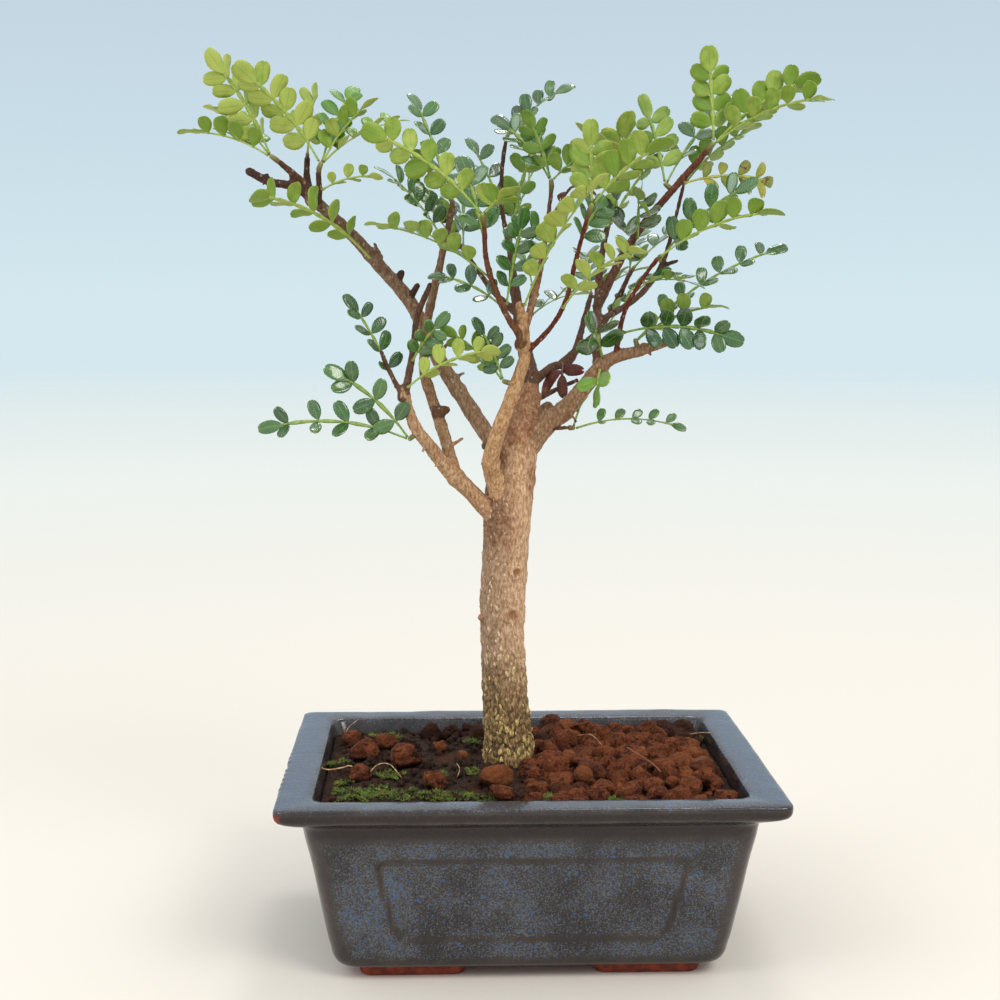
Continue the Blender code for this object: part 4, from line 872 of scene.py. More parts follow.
def shape_pot(points, outer):
    """Press the panels in, and give the wall and lip the unevenness of hand-finished ware."""
    inside, on_long = panel_distance(points)
    depth = np.where(outer, PANEL_DEPTH * smooth(inside, -0.7, 0.9), 0.0)
    sign = np.sign(points)
    points[:, 1] -= np.where(on_long, depth * sign[:, 1], 0.0)
    points[:, 0] -= np.where(on_long, 0.0, depth * sign[:, 0])
    level = np.maximum(np.abs(points[:, 0]), np.abs(points[:, 1]) + WIDTH_LESS)
    rim = smooth(level, 66.0, 72.0)
    wave = field(points, 0.035, 3.1) * 0.35 + field(points, 0.11, 9.7) * 0.16
    points[:, 2] += wave * rim
    swell = field(points, 0.05, 21.0) * 0.22
    outwards = points[:, :2] / np.maximum(level, 1.0)[:, None]
    points[:, :2] += outwards * (swell * smooth(points[:, 2], 6.0, 14.0))[:, None]
    y = points[:, 1]
    ripple = np.sin(y * 1.35) * smooth(y, 16.0, -6.0) * smooth(y, -44.0, -34.0)
    nicked = smooth(-points[:, 0], 73.0, 74.6) * (points[:, 2] > 54.0)
    points[:, 0] += nicked * (0.32 * ripple + 0.5 * np.exp(-((y + 9.0) / 2.2) ** 2))
    return points


def make_pot():
    """Body with panels and lip, four feet joined on and two drainage holes cut through."""
    levels = pot_levels()
    rings = [pot_ring(*level) for level in levels]
    count = len(rings[0])
    points = np.array([point for ring in rings for point in ring])
    outer = np.repeat(np.array([index < len(rings) - len(INNER_WALL) - 1 and level[0] < 50.5
                                for index, level in enumerate(levels)]), count)
    points = shape_pot(points, outer)
    faces = [tuple(reversed(range(count))), tuple(range(len(points) - count, len(points)))]
    pot = loose_object("pot_body", points, faces + ring_sides(len(rings), count))
    for side_x, side_y in itertools.product((-1, 1), (-1, 1)):
        foot_points, foot_faces = foot_shape(side_x * FOOT_CENTRE[0], side_y * FOOT_CENTRE[1])
        boolean(pot, loose_object("foot", foot_points, foot_faces), "UNION")
    for x in (-DRAIN_X, DRAIN_X):
        route = [(Vector((x, 0.0, z)), DRAIN_RADIUS) for z in (-1.0, FLOOR_TOP + 1.0)]
        boolean(pot, loose_object("drain", *sweep(route, 32)), "DIFFERENCE")
    mesh = pot.data
    bpy.data.objects.remove(pot)
    mesh.materials.append(glaze_material())
    return dress_piece("glazed_pot", mesh, "glaze", ("pot",), **glaze_marks(points_of(mesh)))


def foot_shape(x, y):
    """Low rounded foot that reaches into the base."""
    points = []
    for z, less in FOOT_RINGS:
        half_x, half_y = FOOT_HALF[0] - less, FOOT_HALF[1] - less
        for corner, (sign_x, sign_y) in enumerate(((-1, -1), (1, -1), (1, 1), (-1, 1))):
            for step in range(FOOT_POINTS):
                angle = math.pi + corner * math.pi / 2 + step / (FOOT_POINTS - 1) * math.pi / 2
                points.append((x + sign_x * (half_x - FOOT_CORNER) + FOOT_CORNER * math.cos(angle),
                               y + sign_y * (half_y - FOOT_CORNER) + FOOT_CORNER * math.sin(angle), z))
    count = 4 * FOOT_POINTS
    faces = [tuple(reversed(range(count))), tuple(range(len(points) - count, len(points)))]
    return points, faces + ring_sides(len(FOOT_RINGS), count)


def boolean(obj, other, operation):
    """Apply one exact Boolean and remove the other object."""
    modifier = obj.modifiers.new("cut", "BOOLEAN")
    modifier.operation = operation
    modifier.object = other
    modifier.solver = "EXACT"
    result = evaluated_mesh(obj)
    obj.modifiers.clear()
    obj.data = result
    bpy.data.objects.remove(other)


def glaze_marks(points):
    """Where the glaze is thin, pooled or missing."""
    x, y, z = np.abs(points[:, 0]), np.abs(points[:, 1]), points[:, 2]
    level = np.maximum(x, y + WIDTH_LESS)
    inside, _ = panel_distance(points)
    on_wall = smooth(z, 5.0, 7.0) * smooth(z, 51.0, 49.0)
    panel = np.exp(-((inside - 0.1) / 0.6) ** 2) * on_wall
    panel *= 0.45 + 0.5 * smooth(field(points, 0.06, 4.0), -0.5, 0.3)
    corner = smooth(np.minimum(x - level + 7.5, y + WIDTH_LESS - level + 7.5), 0.0, 6.0) * on_wall * 0.62
    under_lip = smooth(z, 44.5, 48.0) * smooth(level, 74.6, 73.0) * (z < 53.4) * 0.85
    edge = np.exp(-((z - 55.4) / 1.7) ** 2) * smooth(level, 73.4, 74.4)
    base = smooth(z, 9.0, 5.5) * 0.6
    inner = smooth(level, 65.4, 64.6) * (z > 50.0) * smooth(z, 57.0, 55.0) * 0.85
    thin = np.clip(np.maximum.reduce([panel, corner, under_lip, edge, base, inner]), 0.0, 1.0)
    speck = field(points, 0.35, 8.0)
    pool = smooth(z, 57.0, 57.6) * smooth(level, 65.5, 67.0) * smooth(level, 74.6, 73.4)
    pool *= np.where(x > y + WIDTH_LESS, 1.0, 0.2)
    chip = np.minimum(np.hypot(points[:, 0] + 74.6, points[:, 1] + 56.0), 9.0)
    bare = np.maximum(smooth(z, 4.6, 3.8), smooth(chip + speck, 2.4, 1.4) * (z < 56.5) * (z > 52.5))
    return {"thin": thin, "pool": pool, "bare": bare}


# Soil

def soil_height(x, y):
    """Level of the soil, which rises from the pot's wall inward."""
    half_x = INNER_WALL[0][1]
    inside = min(half_x - abs(x), half_x - WIDTH_LESS - abs(y))
    for (near, low), (far, high) in zip(SOIL_CROWN, SOIL_CROWN[1:]):
        if inside < far:
            return SOIL_LEVEL + low + (high - low) * max(0.0, inside - near) / (far - near)
    return SOIL_LEVEL + SOIL_CROWN[-1][1]


def make_bed():
    """Root ball: crumbly top, sides that follow the pot, flat bottom above the screens."""
    half_x = INNER_WALL[0][1] + 0.2
    half_y = half_x - WIDTH_LESS
    columns, rows = BED_CELLS
    top = []
    for row in range(rows + 1):
        for column in range(columns + 1):
            x = half_x * (2 * column / columns - 1)
            y = half_y * (2 * row / rows - 1)
            place = Vector((x, y, 0.0))
            rough = sum(noise.noise(place * scale) * height for scale, height in BED_ROUGHNESS)
            edge = min(1.0, min(half_x - abs(x), half_y - abs(y)) / 3.0)
            top.append((x, y, soil_height(x, y) + rough * (0.35 + 0.65 * edge)))
    faces = []
    for row in range(rows):
        for column in range(columns):
            low = row * (columns + 1) + column
            faces.append((low, low + 1, low + columns + 2, low + columns + 1))
    border = list(range(columns + 1)) + [row * (columns + 1) + columns for row in range(1, rows + 1)]
    border += [rows * (columns + 1) + column for column in reversed(range(columns))]
    border += [row * (columns + 1) for row in reversed(range(1, rows))]
    points = list(top)
    shrink = (BED_FLOOR / INNER_WALL[0][1], (BED_FLOOR - WIDTH_LESS) / (INNER_WALL[0][1] - WIDTH_LESS))
    for index in border:
        points.append((top[index][0] * shrink[0], top[index][1] * shrink[1], BED_BOTTOM))
    count = len(border)
    for step in range(count):
        after = (step + 1) % count
        faces.append((border[after], border[step], len(top) + step, len(top) + after))
    faces.append(tuple(len(top) + step for step in reversed(range(count))))
    return make_piece("soil_bed", points, faces, [peat_material()], "soil", ("soil",))


def clod_places(rng):
    """Single clods on the left, darts of falling size on the right, large clods and dark peat on top."""
    places = [(x, y, radius * LOOSE_SIZE, LOOSE_RISE) for x, y, radius in LOOSE_CLODS]
    room = (INNER_WALL[0][1] - 1.2, INNER_WALL[0][1] - WIDTH_LESS - 1.2)
    darts = CLOD_COUNT * 12
    for dart in range(darts):
        share = dart / darts
        if len(places) >= CLOD_COUNT:
            break
        radius = CLOD_RADIUS[1] + (CLOD_RADIUS[0] - CLOD_RADIUS[1]) * share ** 0.6
        radius *= rng.uniform(0.85, 1.1)
        x = rng.uniform(*CLOD_FIELD[0])
        y = rng.uniform(*CLOD_FIELD[1])
        if x < 8.0 and rng.random() < 0.4:
            continue
        if abs(x) > room[0] - radius or abs(y) > room[1] - radius:
            continue
        near = any(math.hypot(x - px, y - py) < 0.82 * (radius + pr) for px, py, pr, _ in places)
        trunk = math.hypot(x - STUMP.x, y - STUMP.y) < STUMP_RADIUS + 0.75 * radius
        mossy = any(math.hypot(x - px, y - py) < 0.8 * reach for px, py, reach, _ in MOSS)
        if not near and not trunk and not mossy:
            places.append((x, y, radius, rng.uniform(*CLOD_RISE)))
    heap = []
    for _ in range(TOP_TRIES):
        x, y = rng.uniform(*TOP_FIELD[0]), rng.uniform(*TOP_FIELD[1])
        radius = rng.uniform(*TOP_RADIUS)
        if all(math.hypot(x - px, y - py) > radius + pr for px, py, pr, _ in heap):
            heap.append((x, y, radius, rng.uniform(*TOP_RISE)))
    for x, y, reach_x, reach_y, count, height in PEAT_HEAPS:
        for _ in range(count):
            angle, out = rng.uniform(0.0, math.tau), math.sqrt(rng.random())
            radius = rng.uniform(*PEAT_RADIUS)
            rise = rng.uniform(0.2, 1.0) * height * (1.1 - out) / radius
            heap.append((x + reach_x * out * math.cos(angle), y + reach_y * out * math.sin(angle),
                         radius, rise))
    return places + heap


def rough_lump(points, centre, radii, rng):
    """Points of one porous lump, and the painted shade of each point, from the hollows of the pores and the
    lump's underside.
    """
    turn = Matrix.Rotation(rng.uniform(0, math.tau), 3, "Z") @ Matrix.Rotation(rng.uniform(0, 1.2), 3, "X")
    seed = rng.uniform(0, 100)
    turned = points @ np.array(turn)
    broad = field(turned, 0.95, seed)
    fine = field(turned, 2.6, seed + 7.0)
    grit = field(turned, 6.0, seed + 13.0)
    pit = smooth(fine + 0.6 * grit, 0.16, 0.5)
    reach = 1.14 + 0.24 * broad + 0.22 * grit + 0.1 * fine - 0.16 * pit
    for _ in range(LUMP_FACETS):
        way = np.array([rng.gauss(0, 1), rng.gauss(0, 1), rng.gauss(0, 1)])
        way /= np.linalg.norm(way)
        turned = turned - np.maximum(turned @ way - rng.uniform(0.55, 0.85), 0.0)[:, None] * way
    placed = turned * reach[:, None]
    # Painted shade on the lower side of the lump, where it sits in the soil
    underside = 0.9 * smooth(placed[:, 2], 0.05, -0.55)
    return placed * np.array(radii) + np.array(centre), np.maximum(pit, underside)


def make_clods():
    rng = random.Random(SOIL_SEED)
    balls = (unit_ball(3), unit_ball(4))
    bodies, clod_painted_shade = Bodies(), []
    for x, y, radius, rise in clod_places(rng):
        base, triangles = balls[radius > LARGE_CLOD]
        radii = (radius, radius * rng.uniform(0.75, 1.0), radius * rng.uniform(0.7, 0.92))
        centre = (x, y, soil_height(x, y) + radius * (rise - 0.1))
        lump, pit = rough_lump(base, centre, radii, rng)
        dark = any(math.hypot(x - px, y - py) < reach for px, py, reach in DARK_PEAT)
        bodies.add(lump, triangles, 0.95 if dark else 0.78 * rng.random())
        clod_painted_shade += pit.tolist()
    return make_piece("clay_clods", np.concatenate(bodies.points), bodies.faces, [clod_material()], "soil",
                      tone=bodies.tones, pit=clod_painted_shade)


def make_crumbs():
    """Small dark crumbs over the peat."""
    rng = random.Random(SOIL_SEED + 1)
    ball, triangles = unit_ball(2)
    bodies = Bodies()
    for _ in range(CRUMB_COUNT):
        x, y = rng.uniform(*CRUMB_FIELD[0]), rng.uniform(*CRUMB_FIELD[1])
        if math.hypot(x - STUMP.x, y - STUMP.y) < STUMP_RADIUS or (x > 4 and rng.random() < 0.7):
            continue
        radius = rng.uniform(*CRUMB_RADIUS)
        centre = np.array((x, y, soil_height(x, y) + rng.uniform(*CRUMB_RISE)))
        jitter = np.array([[rng.uniform(0.6, 1.2)] for _ in ball])
        bodies.add(ball * jitter * radius + centre, triangles)
    return make_piece("peat_crumbs", np.concatenate(bodies.points), bodies.faces, [peat_material()], "soil")


def make_moss():
    """Tufts of tiny pointed leaves."""
    rng = random.Random(SOIL_SEED + 2)
    points, faces, tones = [], [], []
    for x, y, radius, count in MOSS:
        for _ in range(count):
            angle, reach = rng.uniform(0, math.tau), radius * math.sqrt(rng.random())
            foot = Vector((x + math.cos(angle) * reach, y + math.sin(angle) * reach * 0.8, 0.0))
            foot.z = soil_height(foot.x, foot.y) + rng.uniform(-0.2, 0.9)
            tone = rng.random()
            for spike in range(MOSS_LEAVES):
                turn = math.tau * spike / MOSS_LEAVES + rng.uniform(-0.3, 0.3)
                lift = rng.uniform(*MOSS_SLOPE)
                out = Vector((math.cos(turn) * math.cos(lift), math.sin(turn) * math.cos(lift),
                              math.sin(lift)))
                side = Vector((-math.sin(turn), math.cos(turn), 0.0)) * MOSS_HALF
                start = len(points)
                length = rng.uniform(*MOSS_LENGTH)
                points += [foot - side, foot + side, foot + out * length,
                           foot + out * length * 0.45 + out.cross(side).normalized() * 0.2]
                faces += [(start, start + 1, start + 3), (start + 1, start + 2, start + 3),
                          (start, start + 3, start + 2), (start, start + 2, start + 1)]
                tones += [tone * 0.6, tone * 0.6, tone, tone]
    return make_piece("moss", points, faces, [moss_material()], "soil", tone=tones)


def make_rootlets():
    """Thin pale roots that lie on the soil, thinner at both ends."""
    points, faces, tones = [], [], []
    for index, (radius, route) in enumerate(ROOTLETS):
        fine = smooth_route(route, [radius] * len(route), ROOTLET_STEP)
        for end in (0, -1):
            fine[end] = (fine[end][0], fine[end][1] * 0.55)
        more, more_faces = sweep(fine, 6, len(points))
        points += more
        faces += more_faces
        tones += [0.9 if index == RED_ROOTLET else 0.15 * (index % 3)] * len(more)
    return make_piece("rootlets", points, faces, [rootlet_material()], "soil", tone=tones)


# Wood

def smooth_route(points, radii, step):
    """Points and radii along a smooth curve through a route, about one step apart."""
    points = [Vector(point) for point in points]
    padded = [points[0] * 2 - points[1]] + points + [points[-1] * 2 - points[-2]]
    route = []
    for index in range(len(points) - 1):
        a, b, c, d = padded[index:index + 4]
        pieces = max(1, round((c - b).length / step))
        for piece in range(pieces):
            t = piece / pieces
            route.append((curve_point(a, b, c, d, t), radii[index] * (1 - t) + radii[index + 1] * t))
    route.append((points[-1], radii[-1]))
    return route


def branch_route(first, last, points, step):
    """Route of a branch that tapers evenly and ends in a blunt dome."""
    spans = [(Vector(b) - Vector(a)).length for a, b in zip(points, points[1:])]
    total = sum(spans)
    radii = [first + (last - first) * sum(spans[:index]) / total for index in range(len(points))]
    route = smooth_route(points, radii, step)
    heading = (route[-1][0] - route[-2][0]).normalized()
    route.append((route[-1][0] + heading * last * DOME[0], last * DOME[1]))
    return route


def wood_routes(trunk_step, step):
    routes = {"trunk": smooth_route(TRUNK_ROUTE, TRUNK_RADII, trunk_step)}
    for name, first, last, points in BRANCHES:
        routes[name] = branch_route(first, last, points, step)
    return routes


def knotted(name, route):
    """The same route with the swellings that buds and old leaf scars leave."""
    if name == "trunk":
        return route
    rng = random.Random(len(name) * 31 + round(route[0][0].x * 7))
    swollen = []
    travelled, next_knot = 0.0, rng.uniform(3.0, 7.0)
    for index, (point, radius) in enumerate(route):
        travelled += (point - route[index - 1][0]).length if index else 0.0
        if travelled > next_knot and index < len(route) - 2:
            radius *= rng.uniform(1.05, 1.15)
            next_knot = travelled + rng.uniform(8.0, 16.0)
        swollen.append((point, radius * rng.uniform(0.98, 1.02)))
    return swollen


def make_wood():
    """Trunk and branches melted into one skin, with bark relief and a tint for each branch."""
    fine = wood_routes(*FINE_STEPS)
    tubes = [(knotted(name, route), TRUNK_SIDES if name == "trunk" else BRANCH_SIDES)
             for name, route in fine.items()]
    for radius, start, end in SPURS:
        start, end = Vector(start), Vector(end)
        sunk = start + (start - end).normalized() * SPUR_SUNK
        tubes.append(([(sunk, radius * 1.6), (start.lerp(end, 0.4), radius * 1.2),
                       (start.lerp(end, 0.75), radius * 1.1)], SPUR_SIDES))
    points, faces = [], []
    for route, sides in tubes:
        more, more_faces = sweep(route, sides, len(points))
        points += more
        faces += more_faces
    ball, triangles = unit_ball(3)
    for centre, radius in KNOBS:
        faces += [tuple(face) for face in (triangles + len(points)).tolist()]
        points += [Vector(point) for point in (ball * radius * 0.97 + np.array(centre)).tolist()]
    rough = loose_object("wood_rough", [tuple(point) for point in points], faces)
    remesh = rough.modifiers.new("skin", "REMESH")
    remesh.mode = "VOXEL"
    remesh.voxel_size = SKIN_CELL
    soften = rough.modifiers.new("soften", "SMOOTH")
    soften.factor = 0.5
    soften.iterations = 3
    mesh = evaluated_mesh(rough)
    bpy.data.objects.remove(rough)
    places = points_of(mesh)
    names, near, share = nearest_wood(places, fine)
    marks = bark_marks(places, normals_of(mesh), names, near)
    moved = marks.pop("moved")
    move_points(mesh, moved)
    tints = bark_tints(names, near, share, places)
    mesh.materials.clear()
    mesh.materials.append(bark_material())
    return dress_piece("wood", mesh, "bark", ("trunk",), tints=tints, **marks)


def make_lenticels(wood):
    """Raised corky pores on the trunk: crowded and yellow at its foot, few and pale above."""
    rng = random.Random(BARK_SEED)
    skin = BVHTree.FromPolygons([vertex.co for vertex in wood.data.vertices],
                                [face.vertices for face in wood.data.polygons])
    axis = np.array(TRUNK_ROUTE, dtype=float)
    ball, triangles = unit_ball(2)
    bodies = Bodies()
    for low, high, count, size in LENTICELS:
        for _ in range(count):
            z, angle = rng.uniform(low, high), rng.uniform(0.0, math.tau)
            way = Vector((math.cos(angle), math.sin(angle), 0.0))
            middle = Vector([np.interp(z, axis[:, 2], axis[:, 0]),
                             np.interp(z, axis[:, 2], axis[:, 1]), z])
            place, normal, _, _ = skin.ray_cast((middle + way * 20.0) * MM + HOME, -way)
            crowded = noise.noise(Vector((way.x, way.y, z * 0.1)) * 2.2) > -0.12
            half_long = size * rng.uniform(0.55, 1.25)
            half_wide = half_long * rng.uniform(0.3, 0.5)
            rise = rng.uniform(0.2, 0.38)
            lean = rng.uniform(-0.45, 0.45)
            tone = min(1.0, max(0.0, (z - 66.0) / 30.0 + rng.uniform(-0.2, 0.2)))
            if place is None or not crowded:
                continue
            place = (place - HOME) / MM
            if (place - middle).length > LENTICEL_REACH:
                continue
            side = normal.cross(Vector((0.0, 0.0, 1.0))).normalized()
            along = side.cross(normal) * math.cos(lean) + side * math.sin(lean)
            axes = np.array([along * half_long, along.cross(normal) * half_wide, normal * rise])
            bodies.add(ball @ axes + np.array(place - normal * rise * 0.25), triangles, tone)
    return make_piece("cork_pores", np.concatenate(bodies.points), bodies.faces, [pore_material()], "bark",
                      tone=bodies.tones)


def nearest_wood(points, routes):
    """Branch names, and for each point the index of its branch and the share of its length."""
    names, first, second, radii, owner, shares = list(routes), [], [], [], [], []
    for index, name in enumerate(names):
        route = routes[name]
        for step in range(len(route) - 1):
            first.append(route[step][0][:])
            second.append(route[step + 1][0][:])
            radii.append((route[step][1] + route[step + 1][1]) / 2)
            owner.append(index)
            shares.append(step / (len(route) - 1))
    first, second = np.array(first), np.array(second)
    radii, owner, shares = np.array(radii), np.array(owner), np.array(shares)
    span = second - first
    length = (span ** 2).sum(1)
    near = np.empty(len(points), dtype=int)
    for start in range(0, len(points), NEAR_BLOCK):
        block = points[start:start + NEAR_BLOCK]
        t = np.clip(((block @ span.T) - (first * span).sum(1)) / length, 0, 1)
        gap = np.zeros(t.shape)
        for axis in range(3):
            gap += (block[:, axis:axis + 1] - first[:, axis] - t * span[:, axis]) ** 2
        near[start:start + NEAR_BLOCK] = (np.sqrt(gap) - radii).argmin(1)
    return names, owner[near], shares[near]


def bark_marks(points, normals, names, near):
    """Relief of the bark, and where it is corky or scarred."""
    on_trunk = (near == names.index("trunk")).astype(float)
    z = points[:, 2]
    wander = field(points, 0.16, 2.0) * 7.0
    cork = on_trunk * smooth(z + wander, 93.0, 82.0)
    ridges = field(points, 0.6, 5.0, (1.0, 1.0, 0.6))
    plates = field(points, 1.5, 11.0, (1.0, 1.0, 0.5))
    flake = smooth(np.abs(ridges) + 0.35 * plates, 0.06, 0.34)
    fissure = field(points, 1.15, 17.0, (1.0, 1.0, 0.16))
    lumps = field(points, 0.3, 23.0)
    relief = cork * (0.5 * flake - 0.25 + 0.3 * lumps)
    relief += on_trunk * (1 - cork) * (0.16 * fissure + 0.1 * plates + 0.36 * lumps)
    relief += (1 - on_trunk) * (0.14 * field(points, 1.3, 31.0) + 0.12 * lumps)
    flare = on_trunk * smooth(z, 64.0, 54.0) * (0.5 + 0.5 * field(points, 0.22, 41.0))
    scar = np.zeros(len(points))
    for place, radius in SCARS:
        gap = np.linalg.norm(points - np.array(place), axis=1)
        relief += 0.75 * np.exp(-((gap - radius) / 0.7) ** 2) - 0.5 * np.exp(-(gap / (0.7 * radius)) ** 2)
        scar = np.maximum(scar, 0.6 * smooth(gap, radius * 1.15, radius * 0.5))
    collar, wrinkles = collar_marks(points, on_trunk)
    relief -= 0.35 * collar * smooth(wrinkles, 0.14, 0.0)
    relief -= 0.45 * cork * smooth(np.abs(field(points, 0.42, 81.0, (1.0, 1.0, 0.8))), 0.07, 0.0)
    moved = points + normals * (relief + flare * 0.8)[:, None]
    cork = cork * (0.4 + 0.6 * smooth(z, 88.0, 66.0))
    return {"moved": moved, "cork": cork, "relief": flake, "scar": scar}


def collar_marks(points, on_trunk):
    """How much each point lies on the collar under the lowest branch, and how far off its wrinkles."""
    x, z = points[:, 0], points[:, 2]
    rough_z = z + 3.0 * field(points, 0.4, 91.0)
    share = on_trunk * smooth(rough_z, 118.0, 130.0) * smooth(z, 152.0, 138.0) * smooth(x, 0.0, -7.0)
    return share, np.abs(field(points, 0.5, 71.0, (0.8, 0.8, 1.2)))


def bark_tints(names, near, share, points):
    """Colour of each point from its branch's tone, with warmer scars near the forks, and painted light that
    makes the trunk lighter on its right side and darker on its left.
    """
    tones = np.array([[srgb(*tone) for tone in BARK_TONES.get(name, (STUB_TONE, STUB_TONE))]
                      for name in names])
    start, end = tones[near, 0], tones[near, 1]
    colour = start + (end - start) * share[:, None]
    on_trunk = near == names.index("trunk")
    z = points[:, 2]
    warm = smooth(field(points, 0.11, 51.0), 0.12, 0.5) * np.where(on_trunk, smooth(z, 112.0, 132.0), 0.35)
    collar, wrinkles = collar_marks(points, on_trunk.astype(float))
    warm = warm * (0.3 + 0.45 * smooth(field(points, 0.7, 61.0, (1.0, 1.0, 0.5)), -0.3, 0.3))
    warm = np.maximum(warm, 0.55 * on_trunk * smooth(z, 150.0, 163.0))
    warm = np.maximum(warm, collar * (0.3 + 0.4 * smooth(wrinkles, 0.4, 0.0)))
    colour = colour + (np.array(srgb(122, 72, 42)) - colour) * warm[:, None]
    # Painted light and shade: the trunk darker on its left side and lighter on its right, as if lit from
    # the right
    light = np.where(on_trunk, 0.86 + 0.56 * smooth(points[:, 0], -11.0, -1.0), 1.0)
    green = on_trunk * smooth(z, 92.0, 72.0) * 0.3
    colour = colour + (np.array(srgb(150, 134, 84)) - colour) * green[:, None]
    return np.concatenate([np.clip(colour * light[:, None], 0, 1), np.ones((len(points), 1))], axis=1)


# Places of the leaves, by the rules of the part's source

def wood_near(routes, point):
    """Nearest place on the wood: gap to its surface, middle point, radius, heading, is it a tip."""
    best = None
    for route in routes.values():
        for index in range(len(route) - 1):
            (a, radius_a), (b, radius_b) = route[index], route[index + 1]
            middle, share = intersect_point_line(point, a, b)
            share = max(0.0, min(1.0, share))
            middle = a + (b - a) * share
            radius = radius_a + (radius_b - radius_a) * share
            gap = (point - middle).length - radius
            if best is None or gap < best[0]:
                tip = index >= len(route) - 2 and share > 0.3
                best = (gap, middle, radius, (b - a).normalized(), tip)
    return best


def pair_share(pair, pairs):
    """Size of a pair's leaflets, largest in the middle of the leaf."""
    return 0.82 + 0.18 * math.sin(math.pi * (pair + 1.2) / (pairs + 1))


def pair_places(pairs, length, leaflet):
    """Where the first pair stands, the pitch of the pairs and where the last leaflet starts."""
    reach = length - leaflet * TERMINAL
    first = max(3.0, reach * (0.34 if pairs < 3 else 0.24))
    return first, (reach - LAST_PAIR - first) / max(1, pairs - 1), reach


def leaf_pattern(pairs, length, leaflet):
    """Flat leaf: points as (along, across, side) and faces. Side is 0 on the rib, -1 or 1 on leaflets."""
    terminal = leaflet * TERMINAL
    first, pitch, reach = pair_places(pairs, length, leaflet)
    wide = min(leaflet * LEAFLET_WIDE, pitch * math.sin(LEAFLET_ANGLE) * 0.88)
    points = [(0.0, -PETIOLE_HALF, 0), (0.0, PETIOLE_HALF, 0)]
    faces = []
    rib = (0, 1)
    for pair in range(pairs):
        along = first + pitch * (pair if pairs > 1 else 0.6)
        size = leaflet * pair_share(pair, pairs)
        near, far = [], []
        for side in (-1, 1):
            start = len(points)
            forward = Vector((math.cos(LEAFLET_ANGLE), side * math.sin(LEAFLET_ANGLE)))
            out = Vector((math.sin(LEAFLET_ANGLE), -side * math.cos(LEAFLET_ANGLE)))
            root = Vector((along, side * WING))
            half = wide * size / leaflet / 2
            middle = root + forward * size * WIDEST_AT
            points.append((along - BASE_HALF, side * WING, 0))
            for place in (middle - out * half, root + forward * size, middle + out * half):
                points.append((place.x, place.y, side))
            points.append((along + BASE_HALF, side * WING, 0))
            faces += [(start, start + 1, start + 3), (start, start + 3, start + 4)]
            faces.append((start + 1, start + 2, start + 3))
            near.append(start)
            far.append(start + 4)
        faces += strip(rib, near) + strip(near, far)
        rib = far
    start = len(points)
    for along, across in ((0.0, WING), (0.55, wide / 2), (0.95, wide * 0.3)):
        points.append((reach + terminal * along, -across, 0))
        points.append((reach + terminal * along, across, 0))
    for left, right in ((rib, (start, start + 1)), ((start, start + 1), (start + 2, start + 3)),
                        ((start + 2, start + 3), (start + 4, start + 5))):
        faces += strip(left, right)
    return points, faces


def strip(first, second):
    """Two triangles between two pairs of points across the rib."""
    return [(first[0], first[1], second[1]), (first[0], second[1], second[0])]


class Leaf:
    """One compound leaf on an arched rib."""

    def __init__(self, base, tip, pairs, facing, leaflet):
        self.base, self.tip, self.leaflet = base, tip, leaflet
        chord = tip - base
        self.length = chord.length
        lift = Vector((0, 0, 1)) - chord.normalized() * chord.normalized().z
        self.middle = (base + tip) / 2 + lift * chord.length * ARCH * 2
        self.facing = Vector(facing)
        flat, self.faces = leaf_pattern(pairs, chord.length, leaflet)
        self.leaflets = [face for face in self.faces
                         if min(flat[index][0] for index in face) > BUD_RADIUS * 3]
        self.points, self.normals = [], []
        for along, across, side in flat:
            point, normal = self.place(along / chord.length, across, side)
            self.points.append(point)
            self.normals.append(normal)

    def axes(self, share):
        """Middle of the rib, its heading, the way to its right and its normal."""
        centre = self.base.lerp(self.middle, share).lerp(self.middle.lerp(self.tip, share), share)
        heading = ((self.middle - self.base).lerp(self.tip - self.middle, share)).normalized()
        right = heading.cross(self.facing).normalized()
        return centre, heading, right, right.cross(heading)

    def place(self, share, across, side):
        """Point and normal of the blade, its leaflets folded up from the rib."""
        centre, _, right, normal = self.axes(share)
        if not side:
            return centre - right * across, normal
        beyond = abs(across) - WING
        point = centre - right * side * (WING + beyond * math.cos(FOLD)) + normal * beyond * math.sin(FOLD)
        return point, (normal * math.cos(FOLD) + right * side * math.sin(FOLD))

    def layers(self, half, faces):
        """Tree of the blade's skins and edges, for the test of crossings."""
        count = len(self.points)
        points = [p + n * half for p, n in zip(self.points, self.normals)]
        points += [p - n * half for p, n in zip(self.points, self.normals)]
        skin = list(faces) + [tuple(index + count for index in face) for face in faces]
        sides = [(face[corner], face[corner - 1]) for face in faces for corner in range(3)]
        for a, b in sides:
            if (b, a) not in sides:
                skin += [(a, b, b + count), (a, b + count, a + count)]
        return BVHTree.FromPolygons(points, skin, all_triangles=True)

    def wood_gap(self, routes):
        """Least room between the blade and the wood, less what its thickness takes."""
        half = BLADE / 2
        least = min(wood_near(routes, point + normal * side)[0] for side in (-half, half)
                    for point, normal in zip(self.points[:2], self.normals[:2]))
        middles = [(self.points[a] + self.points[b] + self.points[c]) / 3 for a, b, c in self.faces[2:]]
        edge = [self.place(step / RIB_TESTS, side * PETIOLE_HALF, 0)[0] for side in (-1, 1)
                for step in range(1, RIB_TESTS)]
        for point in self.points[2:] + middles + edge:
            if least < WOOD_CLEAR:
                break
            least = min(least, wood_near(routes, point)[0] - half)
        return least


